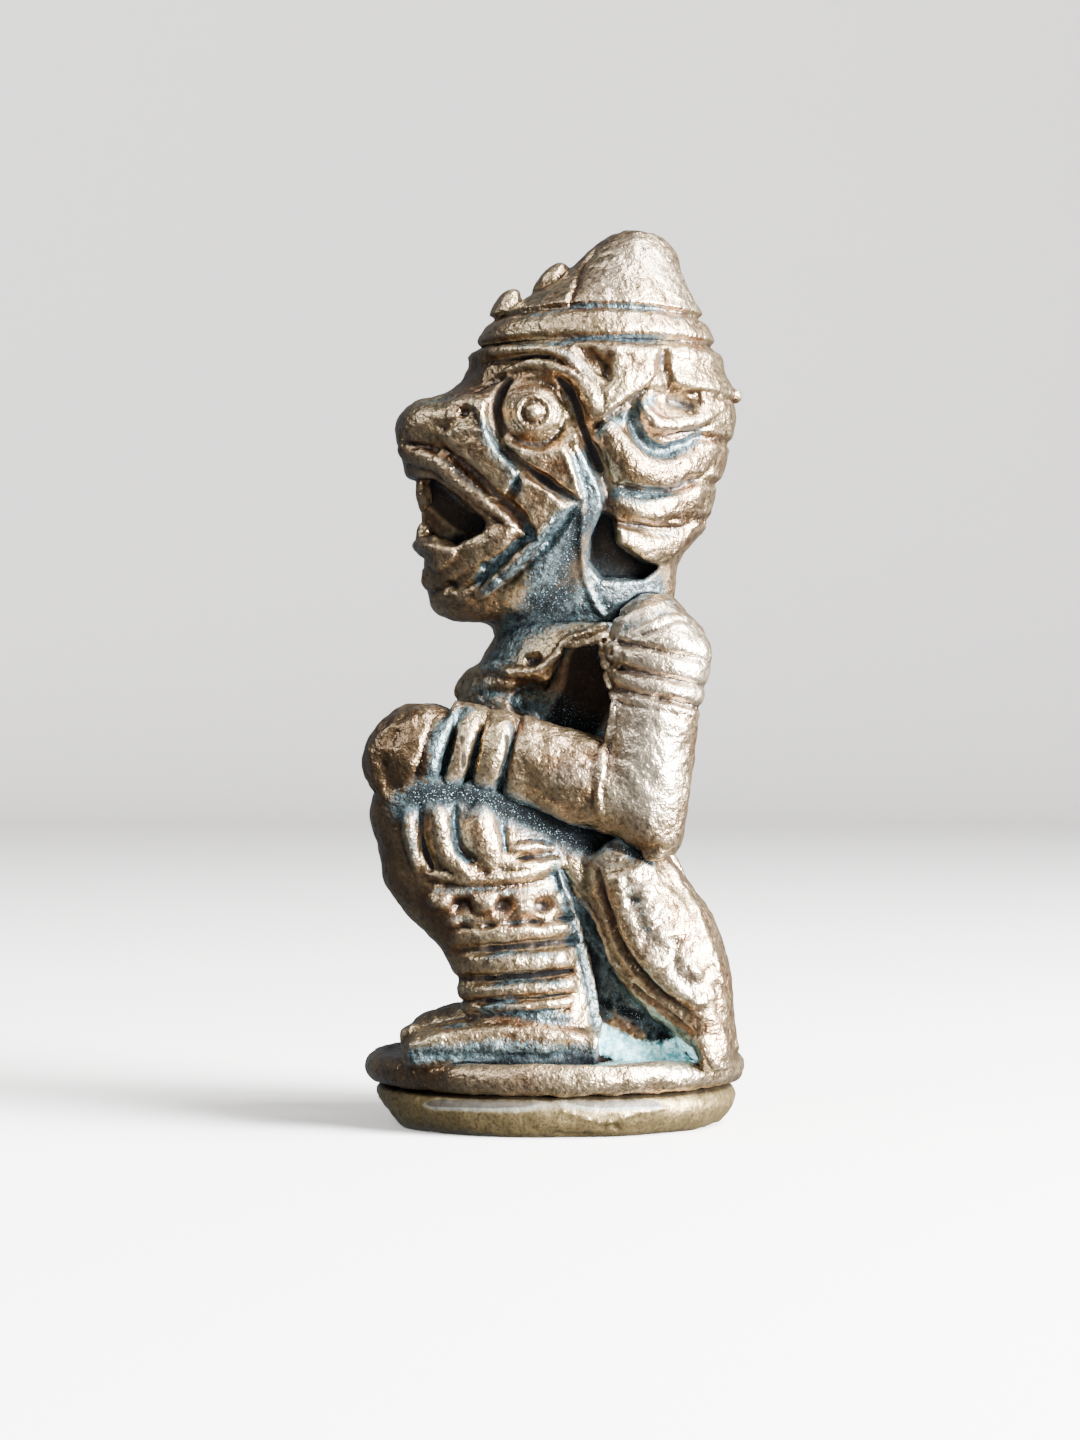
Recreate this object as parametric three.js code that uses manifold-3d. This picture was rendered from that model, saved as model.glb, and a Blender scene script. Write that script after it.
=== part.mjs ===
// A monkey warrior in a pointed cap, squatting with its hands on its knees, cast in one piece
// of bronze with the round base under it. Z is up, the figure faces -Y, and the origin is the
// middle of the underside. The base's sizes are in millimetres. The figure is drawn in
// hundredths of its own height, from the top of the base.
import Module from "manifold-3d";
import * as THREE from "three";
import { LoftGeometry } from "three/addons/geometries/LoftGeometry.js";
import { mergeVertices } from "three/addons/utils/BufferGeometryUtils.js";

// The base, from its underside up: a foot with a worn lower edge, a groove and a rounded rim.
const BASE_LENGTH = 12.8; // front to back, over the rim
const BASE_WIDTH = 11.8; // side to side, over the rim
const FOOT_HEIGHT = 1.3;
const FOOT_INSET = 0.3; // the foot's wall stands in from the rim by this
const FOOT_EDGE_RUN = 0.85; // the worn edge under the foot, inwards
const FOOT_EDGE_RISE = 0.7;
const GROOVE_DEPTH = 0.45; // in from the foot's wall
const GROOVE_HEIGHT = 0.12;
const RIM_HEIGHT = 1.0;
const RIM_BULGE = 0.55;
const RIM_LIP = 0.1; // the rim stands above the floor of the base by this
const BASE_SIDES = 30;
const RIM_STEPS = 3;

const FIGURE_HEIGHT = 27.7; // from the floor of the base to the tip of the cap

const RIM_TOP = FOOT_HEIGHT + GROOVE_HEIGHT + RIM_HEIGHT;
const FLOOR = RIM_TOP - RIM_LIP;
const PART = FIGURE_HEIGHT / 100; // the figure's unit of length

const wasm = await Module();
wasm.setup();

const copyOf = (geometry) => new THREE.BufferGeometry().copy(geometry);

// Any closed geometry as a solid with its faces pointing out.
function solidOf(geometry) {
  const bare = copyOf(geometry);
  bare.deleteAttribute("normal");
  bare.deleteAttribute("uv");
  const merged = mergeVertices(bare, 1e-5);
  const vertProperties = merged.attributes.position.array;
  const triVerts = new Uint32Array(merged.index.array);
  const made = new wasm.Manifold(new wasm.Mesh({ numProp: 3, vertProperties, triVerts }));
  if (made.volume() > 0) return made;
  for (let i = 0; i < triVerts.length; i += 3) {
    [triVerts[i], triVerts[i + 1]] = [triVerts[i + 1], triVerts[i]];
  }
  return new wasm.Manifold(new wasm.Mesh({ numProp: 3, vertProperties, triVerts }));
}

const join = (solids) => solids.reduce((all, next) => all.add(next));
const cut = (body, solids) => solids.reduce((left, next) => left.subtract(next), body);

// The figure's forms. Each makes a geometry in hundredths of the figure's height.

// An ellipsoid; tilt leans its tall axis in the side view, in degrees, top towards the back.
function ball([x, y, z], [across, deep, tall], tilt = 0, sides = 10, rows = 8) {
  const geometry = new THREE.SphereGeometry(1, sides, rows);
  geometry.rotateZ(Math.PI / 2);
  geometry.scale(across, deep, tall);
  geometry.rotateX(THREE.MathUtils.degToRad(-tilt));
  return geometry.translate(x, y, z);
}

// An oval section that runs straight across and leans in the side view, its back end higher.
function oval(x, y, z, across, deep, lean, sides) {
  const turn = THREE.MathUtils.degToRad(lean);
  return Array.from({ length: sides }, (_, side) => {
    const angle = (2 * Math.PI * side) / sides;
    const back = deep * Math.sin(angle);
    return new THREE.Vector3(
      x + across * Math.cos(angle),
      y + back * Math.cos(turn),
      z + back * Math.sin(turn),
    );
  });
}

// A limb through stations [x, y, z, half width, half depth, lean], listed up or forwards.
function limb(stations, sides) {
  const sections = stations.map((station) => oval(...station, sides));
  return new LoftGeometry(sections, { capStart: true, capEnd: true });
}

// The station of a limb at a place along it; key is the coordinate the place is given in.
const [ALONG_Y, ALONG_Z] = [1, 2];

function stationAt(stations, place, key) {
  const last = stations.length - 1;
  const rising = stations[last][key] > stations[0][key];
  const passed = stations.findIndex((s) => (rising ? s[key] >= place : s[key] <= place));
  const next = Math.max(1, passed < 0 ? last : passed);
  const [before, after] = [stations[next - 1], stations[next]];
  const share = (place - before[key]) / (after[key] - before[key]);
  return before.map((value, i) => value + share * (after[i] - value));
}

// A limb's stations with rings round it. A ring is [place, half its height, how far it is proud].
function ringed(stations, rings, key) {
  const rising = stations.at(-1)[key] > stations[0][key];
  const plain = stations.filter((s) => rings.every(([at, half]) => Math.abs(s[key] - at) > half));
  const rows = rings.flatMap(([place, half, proud]) =>
    [
      [-half, 0],
      [0, proud],
      [half, 0],
    ].map(([off, out]) => {
      const station = stationAt(stations, place + off, key);
      station[3] += out;
      station[4] += out;
      return station;
    }),
  );
  return [...plain, ...rows].sort((a, b) => (rising ? a[key] - b[key] : b[key] - a[key]));
}

// The stations of an upright form on the middle plane, from levels [z, front, back, half width].
const upright = (levels) =>
  levels.map(([z, front, back, across]) => [
    0,
    (front + back) / 2,
    z,
    across,
    (back - front) / 2,
    0,
  ]);

// A crested ridge through points [x, y, z], drawn to a thinner end at both ends.
const RIDGE_SIDES = 4;

function ridge(points, radius) {
  const line = new THREE.CatmullRomCurve3(points.map((point) => new THREE.Vector3(...point)));
  const last = points.length - 1;
  const { normals, binormals } = line.computeFrenetFrames(last, false);
  const sections = points.map((point, row) => {
    const size = row === 0 || row === last ? radius * 0.6 : radius;
    return Array.from({ length: RIDGE_SIDES }, (_, side) => {
      const angle = (2 * Math.PI * side) / RIDGE_SIDES;
      return new THREE.Vector3(...point)
        .addScaledVector(normals[row], size * Math.cos(angle))
        .addScaledVector(binormals[row], size * Math.sin(angle));
    });
  });
  return new LoftGeometry(sections, { capStart: true, capEnd: true });
}

// A flat piece whose outline is drawn in the side view, from one place across to another.
function slab(outline, from, to) {
  const shape = new THREE.Shape(outline.map(([y, z]) => new THREE.Vector2(y, z)));
  const geometry = new THREE.ExtrudeGeometry(shape, { depth: to - from, bevelEnabled: false });
  const turned = new THREE.Matrix4().makeBasis(
    new THREE.Vector3(0, 1, 0),
    new THREE.Vector3(0, 0, 1),
    new THREE.Vector3(1, 0, 0),
  );
  return geometry.applyMatrix4(turned).translate(from, 0, 0);
}

const mirrored = (geometry) => copyOf(geometry).scale(-1, 1, 1);
const both = (geometries) => geometries.flatMap((geometry) => [geometry, mirrored(geometry)]);
const placed = (geometry) =>
  solidOf(copyOf(geometry).scale(PART, PART, PART).translate(0, 0, FLOOR));
const solids = (geometries) => geometries.map(placed);

// The head and the cap on it, from under the chin to the tip of the knob.
const HEAD = upright([
  [52.6, -12.6, 14, 7.6],
  [54, -15, 14, 8.4],
  [60, -16, 15.8, 10.2],
  [66, -17.4, 18.4, 11.4],
  [72, -18.6, 20, 12.4],
  [76, -18.6, 20.8, 12.8],
  [78.4, -17, 20.9, 12.7],
  [80.2, -13, 20.7, 12.6],
  [82, -11, 20.3, 12.4],
  [86, -9.4, 19.2, 11.6],
  [88.8, -7.4, 18.4, 10.6],
  [91, -4.2, 17.6, 9.8],
  [94, 0.6, 15.6, 7.8],
  [97.4, 4, 14.7, 5.6],
  [99, 6.2, 13, 3.6],
  [99.9, 8.4, 10.8, 1.4],
]);
const HEADBANDS = [
  [84.5, 1.2, 0.8],
  [87.4, 1.2, 1],
];
const HEAD_SIDES = 16;

// How far out the side of the head is at a place in the side view.
function onHead(y, z) {
  const [, centre, , across, deep] = stationAt(HEAD, z, ALONG_Z);
  return across * Math.sqrt(Math.max(0, 1 - ((y - centre) / deep) ** 2));
}

// How far back the head is at a place in the front view.
function behindHead(x, z) {
  const [, centre, , across, deep] = stationAt(HEAD, z, ALONG_Z);
  return centre + deep * Math.sqrt(Math.max(0, 1 - (x / across) ** 2));
}

// A ridge drawn on the head in the side view, as points [y, z].
const headRidge = (points, radius, lift = 0) =>
  ridge(
    points.map(([y, z]) => [onHead(y, z) + lift, y, z]),
    radius,
  );

function headAndCap() {
  return [
    limb(ringed(HEAD, HEADBANDS, ALONG_Z), HEAD_SIDES),
    ball([0, -15.6, 75.8], [5.2, 3.6, 3.4], 0, 8, 6),
    ball([0, -6, 90.2], [3, 1.5, 2.6], 35, 6, 5),
    ball([0, -0.8, 93.6], [3, 1.5, 2.4], 35, 6, 5),
  ];
}

// The lips go round the open mouth in one loop, from the middle under the nose to the chin.
const LIP = 1.4;

function lips() {
  const half = [
    [0, -18.2, 71.4],
    [4.6, -16.6, 71.6],
    [7.3, -12.8, 70],
    [8.7, -9, 66],
    [9.4, -5.6, 63.4],
    [8.8, -9, 60.2],
    [7.2, -12.8, 58.2],
    [4.2, -15.6, 57.3],
    [0, -16.6, 57.2],
  ];
  return both([ridge(half, LIP)]);
}

function mouthHollow() {
  const outline = [
    [-22, 70.2],
    [-14.2, 69.6],
    [-11, 66.4],
    [-7.6, 63.6],
    [-10.8, 60.8],
    [-15, 59],
    [-22, 59],
  ];
  return [slab(outline, -14, 14)];
}

// The rows of teeth and the tongue that fill the front of the mouth.
function teeth() {
  const outline = [
    [-18.2, 70.8],
    [-17.4, 65.6],
    [-16.8, 61],
    [-15.8, 57.4],
    [-6, 57.4],
    [-6, 70.8],
  ];
  return [slab(outline, -4.2, 4.2)];
}

// Two angular folds of the cheek run round the corner of the mouth, point backwards.
function cheekFolds() {
  const inner = [
    [-13.4, 73.2],
    [-10, 70.8],
    [-6.4, 68.4],
    [-2.6, 67.4],
    [0.2, 65.4],
    [-2.4, 62],
    [-5.4, 59],
    [-8.4, 56.2],
  ];
  const underEye = [
    [-7.6, 74.4],
    [-2.8, 71.8],
    [0.6, 69.8],
    [2.2, 67],
  ];
  return both([headRidge(inner, 1.6, 0.1), headRidge(underEye, 1.9, -0.5)]);
}

// An eye is a round boss turned about an axis across the head: lid, groove, rim and pupil.
const EYE = [9.4, -2.9, 76.8];
const EYE_SIDES = 9;

function eyes() {
  const profile = [
    [0, -1],
    [3.9, 0.4],
    [2.6, 2.6],
    [1.7, 3.6],
    [1.1, 3],
    [0.6, 3.9],
    [0, 4.1],
  ].map(([r, out]) => new THREE.Vector2(r, out));
  const geometry = new THREE.LatheGeometry(profile, EYE_SIDES);
  geometry.rotateZ(-Math.PI / 2);
  return both([geometry.translate(...EYE)]);
}

function eyeSockets() {
  const [x, y, z] = EYE;
  return both([ball([x + 2.8, y + 0.2, z], [3.4, 5.7, 5.3], 0, 14, 8)]);
}

// The brow ridge arches over the eye from above the nose to the ear flap.
function brows() {
  const arch = [
    [0, -10.6, 80.8],
    [5.4, -9.8, 81.8],
    [9.4, -6.2, 83],
    [11.6, -1.2, 83],
    [12.8, 2.6, 79.6],
    [12.8, 4.4, 75.4],
  ];
  return both([ridge(arch, 1.3)]);
}

// The cap's flap in front of the ear, a leaf with a raised lower edge.
function earFlap() {
  const outline = [
    [3, 84.6],
    [13.2, 84.6],
    [12.6, 82],
    [10.2, 79.8],
    [5, 75.8],
    [4.4, 78.6],
  ];
  const edge = [
    [13, 12.2, 82.6],
    [13.5, 9.2, 79.6],
    [13.2, 5, 76.2],
  ];
  return both([slab(outline, 8, 13), ridge(edge, 0.9)]);
}

function earFlapHollow() {
  const outline = [
    [3.8, 83.8],
    [6.8, 83.4],
    [6.6, 80.2],
  ];
  return both([slab(outline, 12, 16)]);
}

// Four thick locks of hair sweep back from the ear round the back of the head.
const LOCKS = [
  {
    radius: 1.3,
    side: [
      [10.4, 78.8],
      [9.9, 76.4],
      [12.4, 75],
      [17.2, 76],
    ],
    back: [22.2, 78],
  },
  {
    radius: 2.1,
    side: [
      [5.4, 73.6],
      [8.2, 70.6],
      [12.6, 69],
      [18, 71.8],
    ],
    back: [21.6, 73.4],
  },
  {
    radius: 1.7,
    side: [
      [7, 66],
      [11.4, 64.4],
      [16, 65.6],
    ],
    back: [20.2, 68],
  },
  {
    radius: 2,
    side: [
      [6.8, 62.6],
      [9.4, 60],
      [13.6, 60.2],
    ],
    back: [18.4, 63.2],
  },
];
const LOCK_PROUD = 0.5; // of its radius, over the head
const LOCK_TURN = 7; // how far across the head a lock turns to run round the back

function hair() {
  const locks = LOCKS.map(({ radius, side, back }) => {
    const points = side.map(([y, z]) => [onHead(y, z) + radius * LOCK_PROUD, y, z]);
    const height = (side.at(-1)[1] + back[1]) / 2;
    const turn = [LOCK_TURN, behindHead(LOCK_TURN, height) + radius * LOCK_PROUD, height];
    return ridge([...points, turn, [0, back[0] - radius, back[1]]], radius);
  });
  return both(locks);
}

function earHollow() {
  return both([ball([13.4, 13.4, 78.9], [2.6, 3.4, 1.5], -28, 8, 6)]);
}

// The neck, chest, belly and seat, from the top down to the base between the legs.
const TRUNK = upright([
  [-1, -4, 22.8, 10.4],
  [8, -5, 21.4, 10.6],
  [17, -7.2, 17.4, 11],
  [24, -9, 13.2, 11.4],
  [31, -11, 13.4, 10.4],
  [38, -12, 15.4, 10],
  [44, -11.6, 16.4, 10.4],
  [47.4, -9, 16.4, 10.4],
  [51.4, -7.2, 15.4, 9.4],
  [56, -7, 14, 8.8],
]);

// The back and the shoulders, which close the space between the trunk and the arms behind.
const BACK = upright([
  [27, 5, 13, 12.6],
  [36, 7.6, 15.4, 14.4],
  [44, 8, 16.8, 15.4],
  [50, 6.6, 17, 16.4],
  [53.6, 7.4, 15.8, 14],
  [55.4, 9.6, 14, 10],
]);

function trunk() {
  return [limb(TRUNK, 12), limb(BACK, 12)];
}

// A rolled collar dips from the shoulders to the breast.
function collar() {
  return both([
    ridge(
      [
        [0, -9.4, 46.2],
        [6.4, -6.8, 46.6],
        [9.6, -2, 47],
        [11, 1.6, 49.6],
        [13, 6, 51.4],
      ],
      1.4,
    ),
  ]);
}

// The arm, from the elbow up to the shoulder, with three rings; and from the elbow forwards
// with two rings at the wrist, to the hand that bends down over the knee.
const ARM_LEAN = -7;
const ARM = [
  [15.2, 11.8, 24.8, 2, 2.2, ARM_LEAN],
  [15.2, 10.8, 27, 4, 4.2, ARM_LEAN],
  [15.5, 10.3, 32, 4.8, 5.5, ARM_LEAN],
  [15.8, 11.8, 42, 4.9, 5.2, ARM_LEAN],
  [15, 12.2, 48.6, 5.4, 6.2, ARM_LEAN],
  [14.4, 12, 52, 4.8, 5, ARM_LEAN],
  [13.8, 11.8, 54.2, 2.4, 2.6, ARM_LEAN],
];
const ARMLETS = [
  [44.6, 0.8, 0.7],
  [46.9, 0.8, 0.7],
  [49.4, 0.8, 0.6],
];
const FOREARM = [
  [15.2, 12.4, 29.8, 4, 4.1, 72],
  [14.8, 4.6, 32.8, 4.8, 5.3, 72],
  [14, -3, 35.4, 4.6, 5.2, 74],
  [13.2, -13, 37.6, 4.6, 5.2, 78],
];
const BRACELETS = [
  [-7.6, 1.3, 1],
  [-11.2, 1.3, 1],
];
const HAND = [12.8, -16, 36.2];

function arms() {
  return both([
    limb(ringed(ARM, ARMLETS, ALONG_Z), 10),
    limb(ringed(FOREARM, BRACELETS, ALONG_Y), 10),
    ball(HAND, [5.8, 6.4, 6.6], 0, 9, 6),
  ]);
}

const FINGERS = 4;
const FINGER_PITCH = 2.3;

function fingers() {
  const drawn = Array.from({ length: FINGERS }, (_, i) => {
    const x = 12.6 + (i - (FINGERS - 1) / 2) * FINGER_PITCH;
    return ridge(
      [
        [x, -18.4, 40.8],
        [x, -21, 38],
        [x, -21.8, 33.6],
        [x, -20.8, 29],
      ],
      1.3,
    );
  });
  return both(drawn);
}

// The leg: the thigh forwards to the knee, and the shin with the trouser hem's edge and rings.
const THIGH = [
  [7.6, 11, 15, 6, 7, 60],
  [8.8, 2.6, 22, 5.4, 6.8, 60],
  [11, -6, 27, 5.4, 6, 60],
  [12.2, -12, 30, 5.6, 6, 60],
];
const KNEE = [12.4, -15.2, 29.8];
const SHIN_LEAN = 6;
const SHIN = [
  [11.6, -2.4, -1, 5.2, 7.8, SHIN_LEAN],
  [11.6, -3.1, 6, 5.1, 7.8, SHIN_LEAN],
  [11.7, -4.7, 12.6, 5, 8.1, SHIN_LEAN],
  [11.9, -7.4, 18.2, 5.3, 9.1, 12],
  [12.1, -10.6, 24, 5.9, 9.9, 20],
  [12.3, -13.6, 29.4, 6, 8.4, 30],
];
const LEG_RINGS = [
  [7.6, 1, 0.7],
  [12.1, 1.3, 0.7],
  [15.4, 0.9, 0.8],
  [22.6, 0.9, 0.8],
];

function legs() {
  return both([
    limb(THIGH, 8),
    limb(ringed(SHIN, LEG_RINGS, ALONG_Z), 12),
    ball(KNEE, [6.2, 6.8, 6.8], 0, 9, 6),
  ]);
}

// Pleats hang from the hand to the hem, over a row of studs.
const PLEATS = [
  [
    [-17.6, 31],
    [-17.4, 27],
    [-16.2, 22.8],
  ],
  [
    [-14.6, 31],
    [-13.6, 27],
    [-11.4, 22.8],
  ],
  [
    [-11, 31],
    [-9.6, 27],
    [-6.6, 23.6],
  ],
];
const STUDS = 5;
const STUD_RADIUS = 1.8;

function hem() {
  const pleats = PLEATS.map((line) =>
    ridge(
      line.map(([y, z]) => [17.2, y, z]),
      1.5,
    ),
  );
  const studs = Array.from({ length: STUDS }, (_, i) => {
    const turn = Math.PI * (i / (STUDS - 1) - 0.5) * 0.9;
    const y = -7.9 + 9 * Math.sin(turn);
    const stud = new THREE.OctahedronGeometry(STUD_RADIUS, 0);
    return stud.translate(11.9 + 5.4 * Math.cos(turn), y, 19.4 + 0.12 * y);
  });
  return both([...pleats, ...studs]);
}

function feet() {
  const sole = [
    [11.4, 4.6, 1.6, 4.8, 2.4, 92],
    [11.8, -3, 2.4, 5.2, 2.8, 92],
    [12.2, -10, 2.1, 5.1, 2.6, 96],
    [12.6, -16, 1.2, 4.4, 2.1, 96],
    [12.6, -17.8, 0.6, 2.6, 1.2, 96],
  ];
  return both([limb(sole, 8), ball([12.8, -17.2, 2.2], [1.6, 1.3, 1.2], 0, 6, 4)]);
}

// The haunches beside the seat, and two long folds that run down between them to the base.
const HAUNCH_LEAN = 30;
const HAUNCH = [
  [9, 18.8, -1, 6.4, 2.4, 0],
  [9, 18, 3, 7, 3.6, 20],
  [9.4, 15.6, 8.6, 7.8, 5.8, HAUNCH_LEAN],
  [9.8, 12.6, 14, 8, 6.8, HAUNCH_LEAN],
  [10, 9, 20.6, 7.4, 5.8, HAUNCH_LEAN],
  [10, 6.4, 26, 5.8, 4.6, HAUNCH_LEAN],
];

function haunches() {
  const fold = [
    [4, 13, 25],
    [4.8, 19.4, 13],
    [5.2, 22, 1],
  ];
  return both([limb(HAUNCH, 10), ridge(fold, 1.1)]);
}

function base() {
  const radius = BASE_LENGTH / 2;
  const wall = radius - FOOT_INSET;
  const bulgeStart = radius - RIM_BULGE;
  const rim = Array.from({ length: RIM_STEPS + 1 }, (_, step) => {
    const angle = Math.PI * (step / RIM_STEPS - 0.5);
    return [
      bulgeStart + RIM_BULGE * Math.cos(angle),
      FOOT_HEIGHT + GROOVE_HEIGHT + (RIM_HEIGHT * (1 + Math.sin(angle))) / 2,
    ];
  });
  const profile = [
    [0, 0],
    [wall - FOOT_EDGE_RUN, 0],
    [wall, FOOT_EDGE_RISE],
    [wall, FOOT_HEIGHT - RIM_LIP],
    [wall - GROOVE_DEPTH, FOOT_HEIGHT],
    [wall - GROOVE_DEPTH, FOOT_HEIGHT + GROOVE_HEIGHT],
    ...rim,
    [bulgeStart - RIM_LIP, FLOOR],
    [0, FLOOR],
  ].map(([r, z]) => new THREE.Vector2(r, z));
  const geometry = new THREE.LatheGeometry(profile, BASE_SIDES);
  geometry.rotateX(Math.PI / 2);
  return geometry.scale(BASE_WIDTH / BASE_LENGTH, 1, 1);
}

function figure() {
  const head = cut(
    join(solids([...headAndCap(), ...hair(), ...earFlap()])),
    solids([...eyeSockets(), ...mouthHollow(), ...earFlapHollow(), ...earHollow()]),
  );
  const face = [...lips(), ...teeth(), ...cheekFolds(), ...eyes(), ...brows()];
  const body = [
    ...trunk(),
    ...collar(),
    ...arms(),
    ...fingers(),
    ...legs(),
    ...hem(),
    ...feet(),
    ...haunches(),
  ];
  const above = join([head, ...solids([...face, ...body])]);
  const below = solidOf(new THREE.BoxGeometry(40, 40, 20).translate(0, 0, FLOOR - 10.2));
  const whole = above.subtract(below).add(solidOf(base()));
  return join(whole.decompose().filter((shell) => shell.volume() > 0)); // pockets are filled
}

// A solid's triangles as a geometry that three.js can draw.
function geometryOf(solid) {
  const { vertProperties, triVerts } = solid.getMesh();
  const geometry = new THREE.BufferGeometry();
  geometry.setAttribute("position", new THREE.BufferAttribute(vertProperties, 3));
  geometry.setIndex(new THREE.BufferAttribute(triVerts, 1));
  return geometry.toNonIndexed();
}

const bronze = new THREE.MeshStandardMaterial({ color: 0x8a6242, roughness: 0.5, metalness: 0.85 });
const casting = new THREE.Mesh(geometryOf(figure()), bronze);
casting.geometry.computeVertexNormals();
casting.name = "hanuman_figure";

const group = new THREE.Group();
group.add(casting);
export default group;
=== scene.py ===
"""A monkey warrior in a pointed cap, squatting with its hands on its knees: a small bronze
casting on a low round base, seen from its left.

It is sculpted as signed distances on grids, and then skinned and coloured. Forms are drawn in
hundredths of the figure's own height, from the top of its base up. Relief and colour are laid
on under points of the picture, in pixels of its 1080 x 1440 frame, and the far side mirrors the
near.
"""

import copy
import itertools
import math

import bpy
import numpy as np
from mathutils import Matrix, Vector


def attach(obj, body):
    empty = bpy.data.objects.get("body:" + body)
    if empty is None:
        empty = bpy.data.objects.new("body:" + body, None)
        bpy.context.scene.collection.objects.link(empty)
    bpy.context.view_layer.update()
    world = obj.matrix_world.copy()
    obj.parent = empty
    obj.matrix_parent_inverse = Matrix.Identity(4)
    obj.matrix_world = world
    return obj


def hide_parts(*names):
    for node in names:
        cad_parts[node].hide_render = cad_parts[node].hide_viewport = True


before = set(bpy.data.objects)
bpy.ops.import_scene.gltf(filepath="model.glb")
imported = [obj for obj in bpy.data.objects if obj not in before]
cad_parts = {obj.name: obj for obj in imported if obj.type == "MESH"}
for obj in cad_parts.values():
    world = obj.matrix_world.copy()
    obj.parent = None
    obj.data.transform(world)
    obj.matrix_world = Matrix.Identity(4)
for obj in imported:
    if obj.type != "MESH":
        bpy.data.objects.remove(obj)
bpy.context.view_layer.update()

# Lengths in millimetres.
FIGURE_HEIGHT = 27.7
FLOOR = 2.32
PART = FIGURE_HEIGHT / 100
MM = 0.001

# The camera looks straight along -X.
CAMERA_AWAY = 120.0
CAMERA_Y = -0.506
CAMERA_Z = 13.5
FOCAL = 3560.0  # in pixels
MIDDLE_U, MIDDLE_V = 540.0, 720.0
PICTURE_HEIGHT = 1440
SENSOR = 36
PIXEL = 0.118  # hundredths of the figure's height under one pixel

REACH = 4.5  # distances are kept up to this, in hundredths
TINY = 1e-3  # keeps a division from failing
TAPER = 0.18  # the share of a line over which each of its ends narrows
CORNERS = list(itertools.product((0, 1), repeat=3))

NODE = "hanuman_figure"


# Numbers and curves.


def trail(text):
    """Points of the picture, written as "u,v u,v"."""
    return np.array([pair.split(",") for pair in text.split()], float)


def in_space(u, v, depth):
    """The y and z of pixels on the plane that is this far to the figure's left."""
    scale = (CAMERA_AWAY - depth * PART) / FOCAL
    y = (CAMERA_Y + (u - MIDDLE_U) * scale) / PART
    z = (CAMERA_Z + (MIDDLE_V - v) * scale - FLOOR) / PART
    return y, z


def eased(share):
    return share * share * (3 - 2 * share)


def corner_weights(part):
    """A cell's corners, each with its weight for places that lie this far into the cell."""
    for corner in CORNERS:
        weight = 1
        for high, share in zip(corner, part):
            weight = weight * (share if high else 1 - share)
        yield corner, weight


def soft_min(a, b, blend):
    mix = np.clip(0.5 + 0.5 * (b - a) / blend, 0, 1)
    return b + (a - b) * mix - blend * mix * (1 - mix)


def smooth_rows(rows, steps):
    """Rows of numbers along a smooth curve through the given rows."""
    rows = np.asarray(rows, float)
    if len(rows) < 3:
        share = np.linspace(0, 1, steps + 1)[:, None]
        return rows[0] + (rows[-1] - rows[0]) * share
    ends = np.vstack([2 * rows[0] - rows[1], rows, 2 * rows[-1] - rows[-2]])
    made = []
    for a, b, c, d in zip(ends, ends[1:], ends[2:], ends[3:]):
        for step in range(steps):
            t = step / steps
            bend = 2 * a - 5 * b + 4 * c - d + t * (3 * (b - c) + d - a)
            made.append(b + 0.5 * t * (c - a + t * bend))
    return np.array(made + [rows[-1]])


# Large odd numbers that scatter a grid cell's three indices.
HASH = (73856093, 19349663, 83492791, 1274126177)
SEED_STEP = 17.31  # how far apart the noises of two seeds lie


def grain(points, size, seed):
    """Smooth noise from -1 to 1, with bumps of about this size."""
    at = points / size + seed * SEED_STEP
    low = np.floor(at)
    total = np.zeros(len(points))
    for corner, weight in corner_weights(eased(at - low).T):
        x, y, z = (low.astype(np.int64) + corner).T
        mixed = (x * HASH[0]) ^ (y * HASH[1]) ^ (z * HASH[2])
        mixed = (mixed ^ (mixed >> 13)) * HASH[3]
        value = ((mixed ^ (mixed >> 16)) & 65535) / 32767.5 - 1
        total += weight * value
    return total


def soft(place):
    return np.clip(1 - place**2, 0, 1) ** 2


def full(place):
    return np.sqrt(np.clip(1 - place**2, 0, 1))


def vee(place):
    return np.clip(1 - place, 0, 1)


def evenly(values, count):
    """One number, or several spread evenly, as this many."""
    values = np.atleast_1d(values).astype(float)
    return np.interp(np.linspace(0, len(values) - 1, count), np.arange(len(values)), values)


def taper(count, ends):
    """Sizes along a line: full in the middle, and smaller at its two ends."""
    share = np.linspace(0, 1, count)
    start, end = (
        size + (1 - size) * np.clip(part / TAPER, 0, 1) ** 0.6
        for size, part in zip(ends, (share, 1 - share))
    )
    return np.minimum(start, end)


# Forms.


class Form:
    """A solid given by its signed distance, and the box that it lies in."""

    def __init__(self, low, high, distance):
        self.low = np.asarray(low, float)
        self.high = np.asarray(high, float)
        self.distance = distance


def oval_distance(*parts):
    """The distance from an oval or an ellipsoid, from pairs of an offset and a half width."""
    near = np.sqrt(sum((off / half) ** 2 for off, half in parts))
    slope = np.sqrt(sum((off / half**2) ** 2 for off, half in parts))
    return near * (near - 1) / np.maximum(slope, TINY)


def ball(at, radii, tilt=0.0):
    """An ellipsoid; tilt leans its top towards the back, in degrees."""
    cx, cy, cz = at
    across, deep, tall = radii
    turn = math.radians(tilt)
    reach = max(radii)

    def distance(x, y, z):
        back, up = y - cy, z - cz
        w = back * math.cos(turn) - up * math.sin(turn)
        h = back * math.sin(turn) + up * math.cos(turn)
        return oval_distance((x - cx, across), (w, deep), (h, tall))

    return Form(np.array(at) - reach, np.array(at) + reach, distance)


def beyond(station, y, z):
    """How far places lie past the plane of a section."""
    lean = math.radians(station[5])
    return (z - station[2]) * math.cos(lean) - (y - station[1]) * math.sin(lean)


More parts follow.
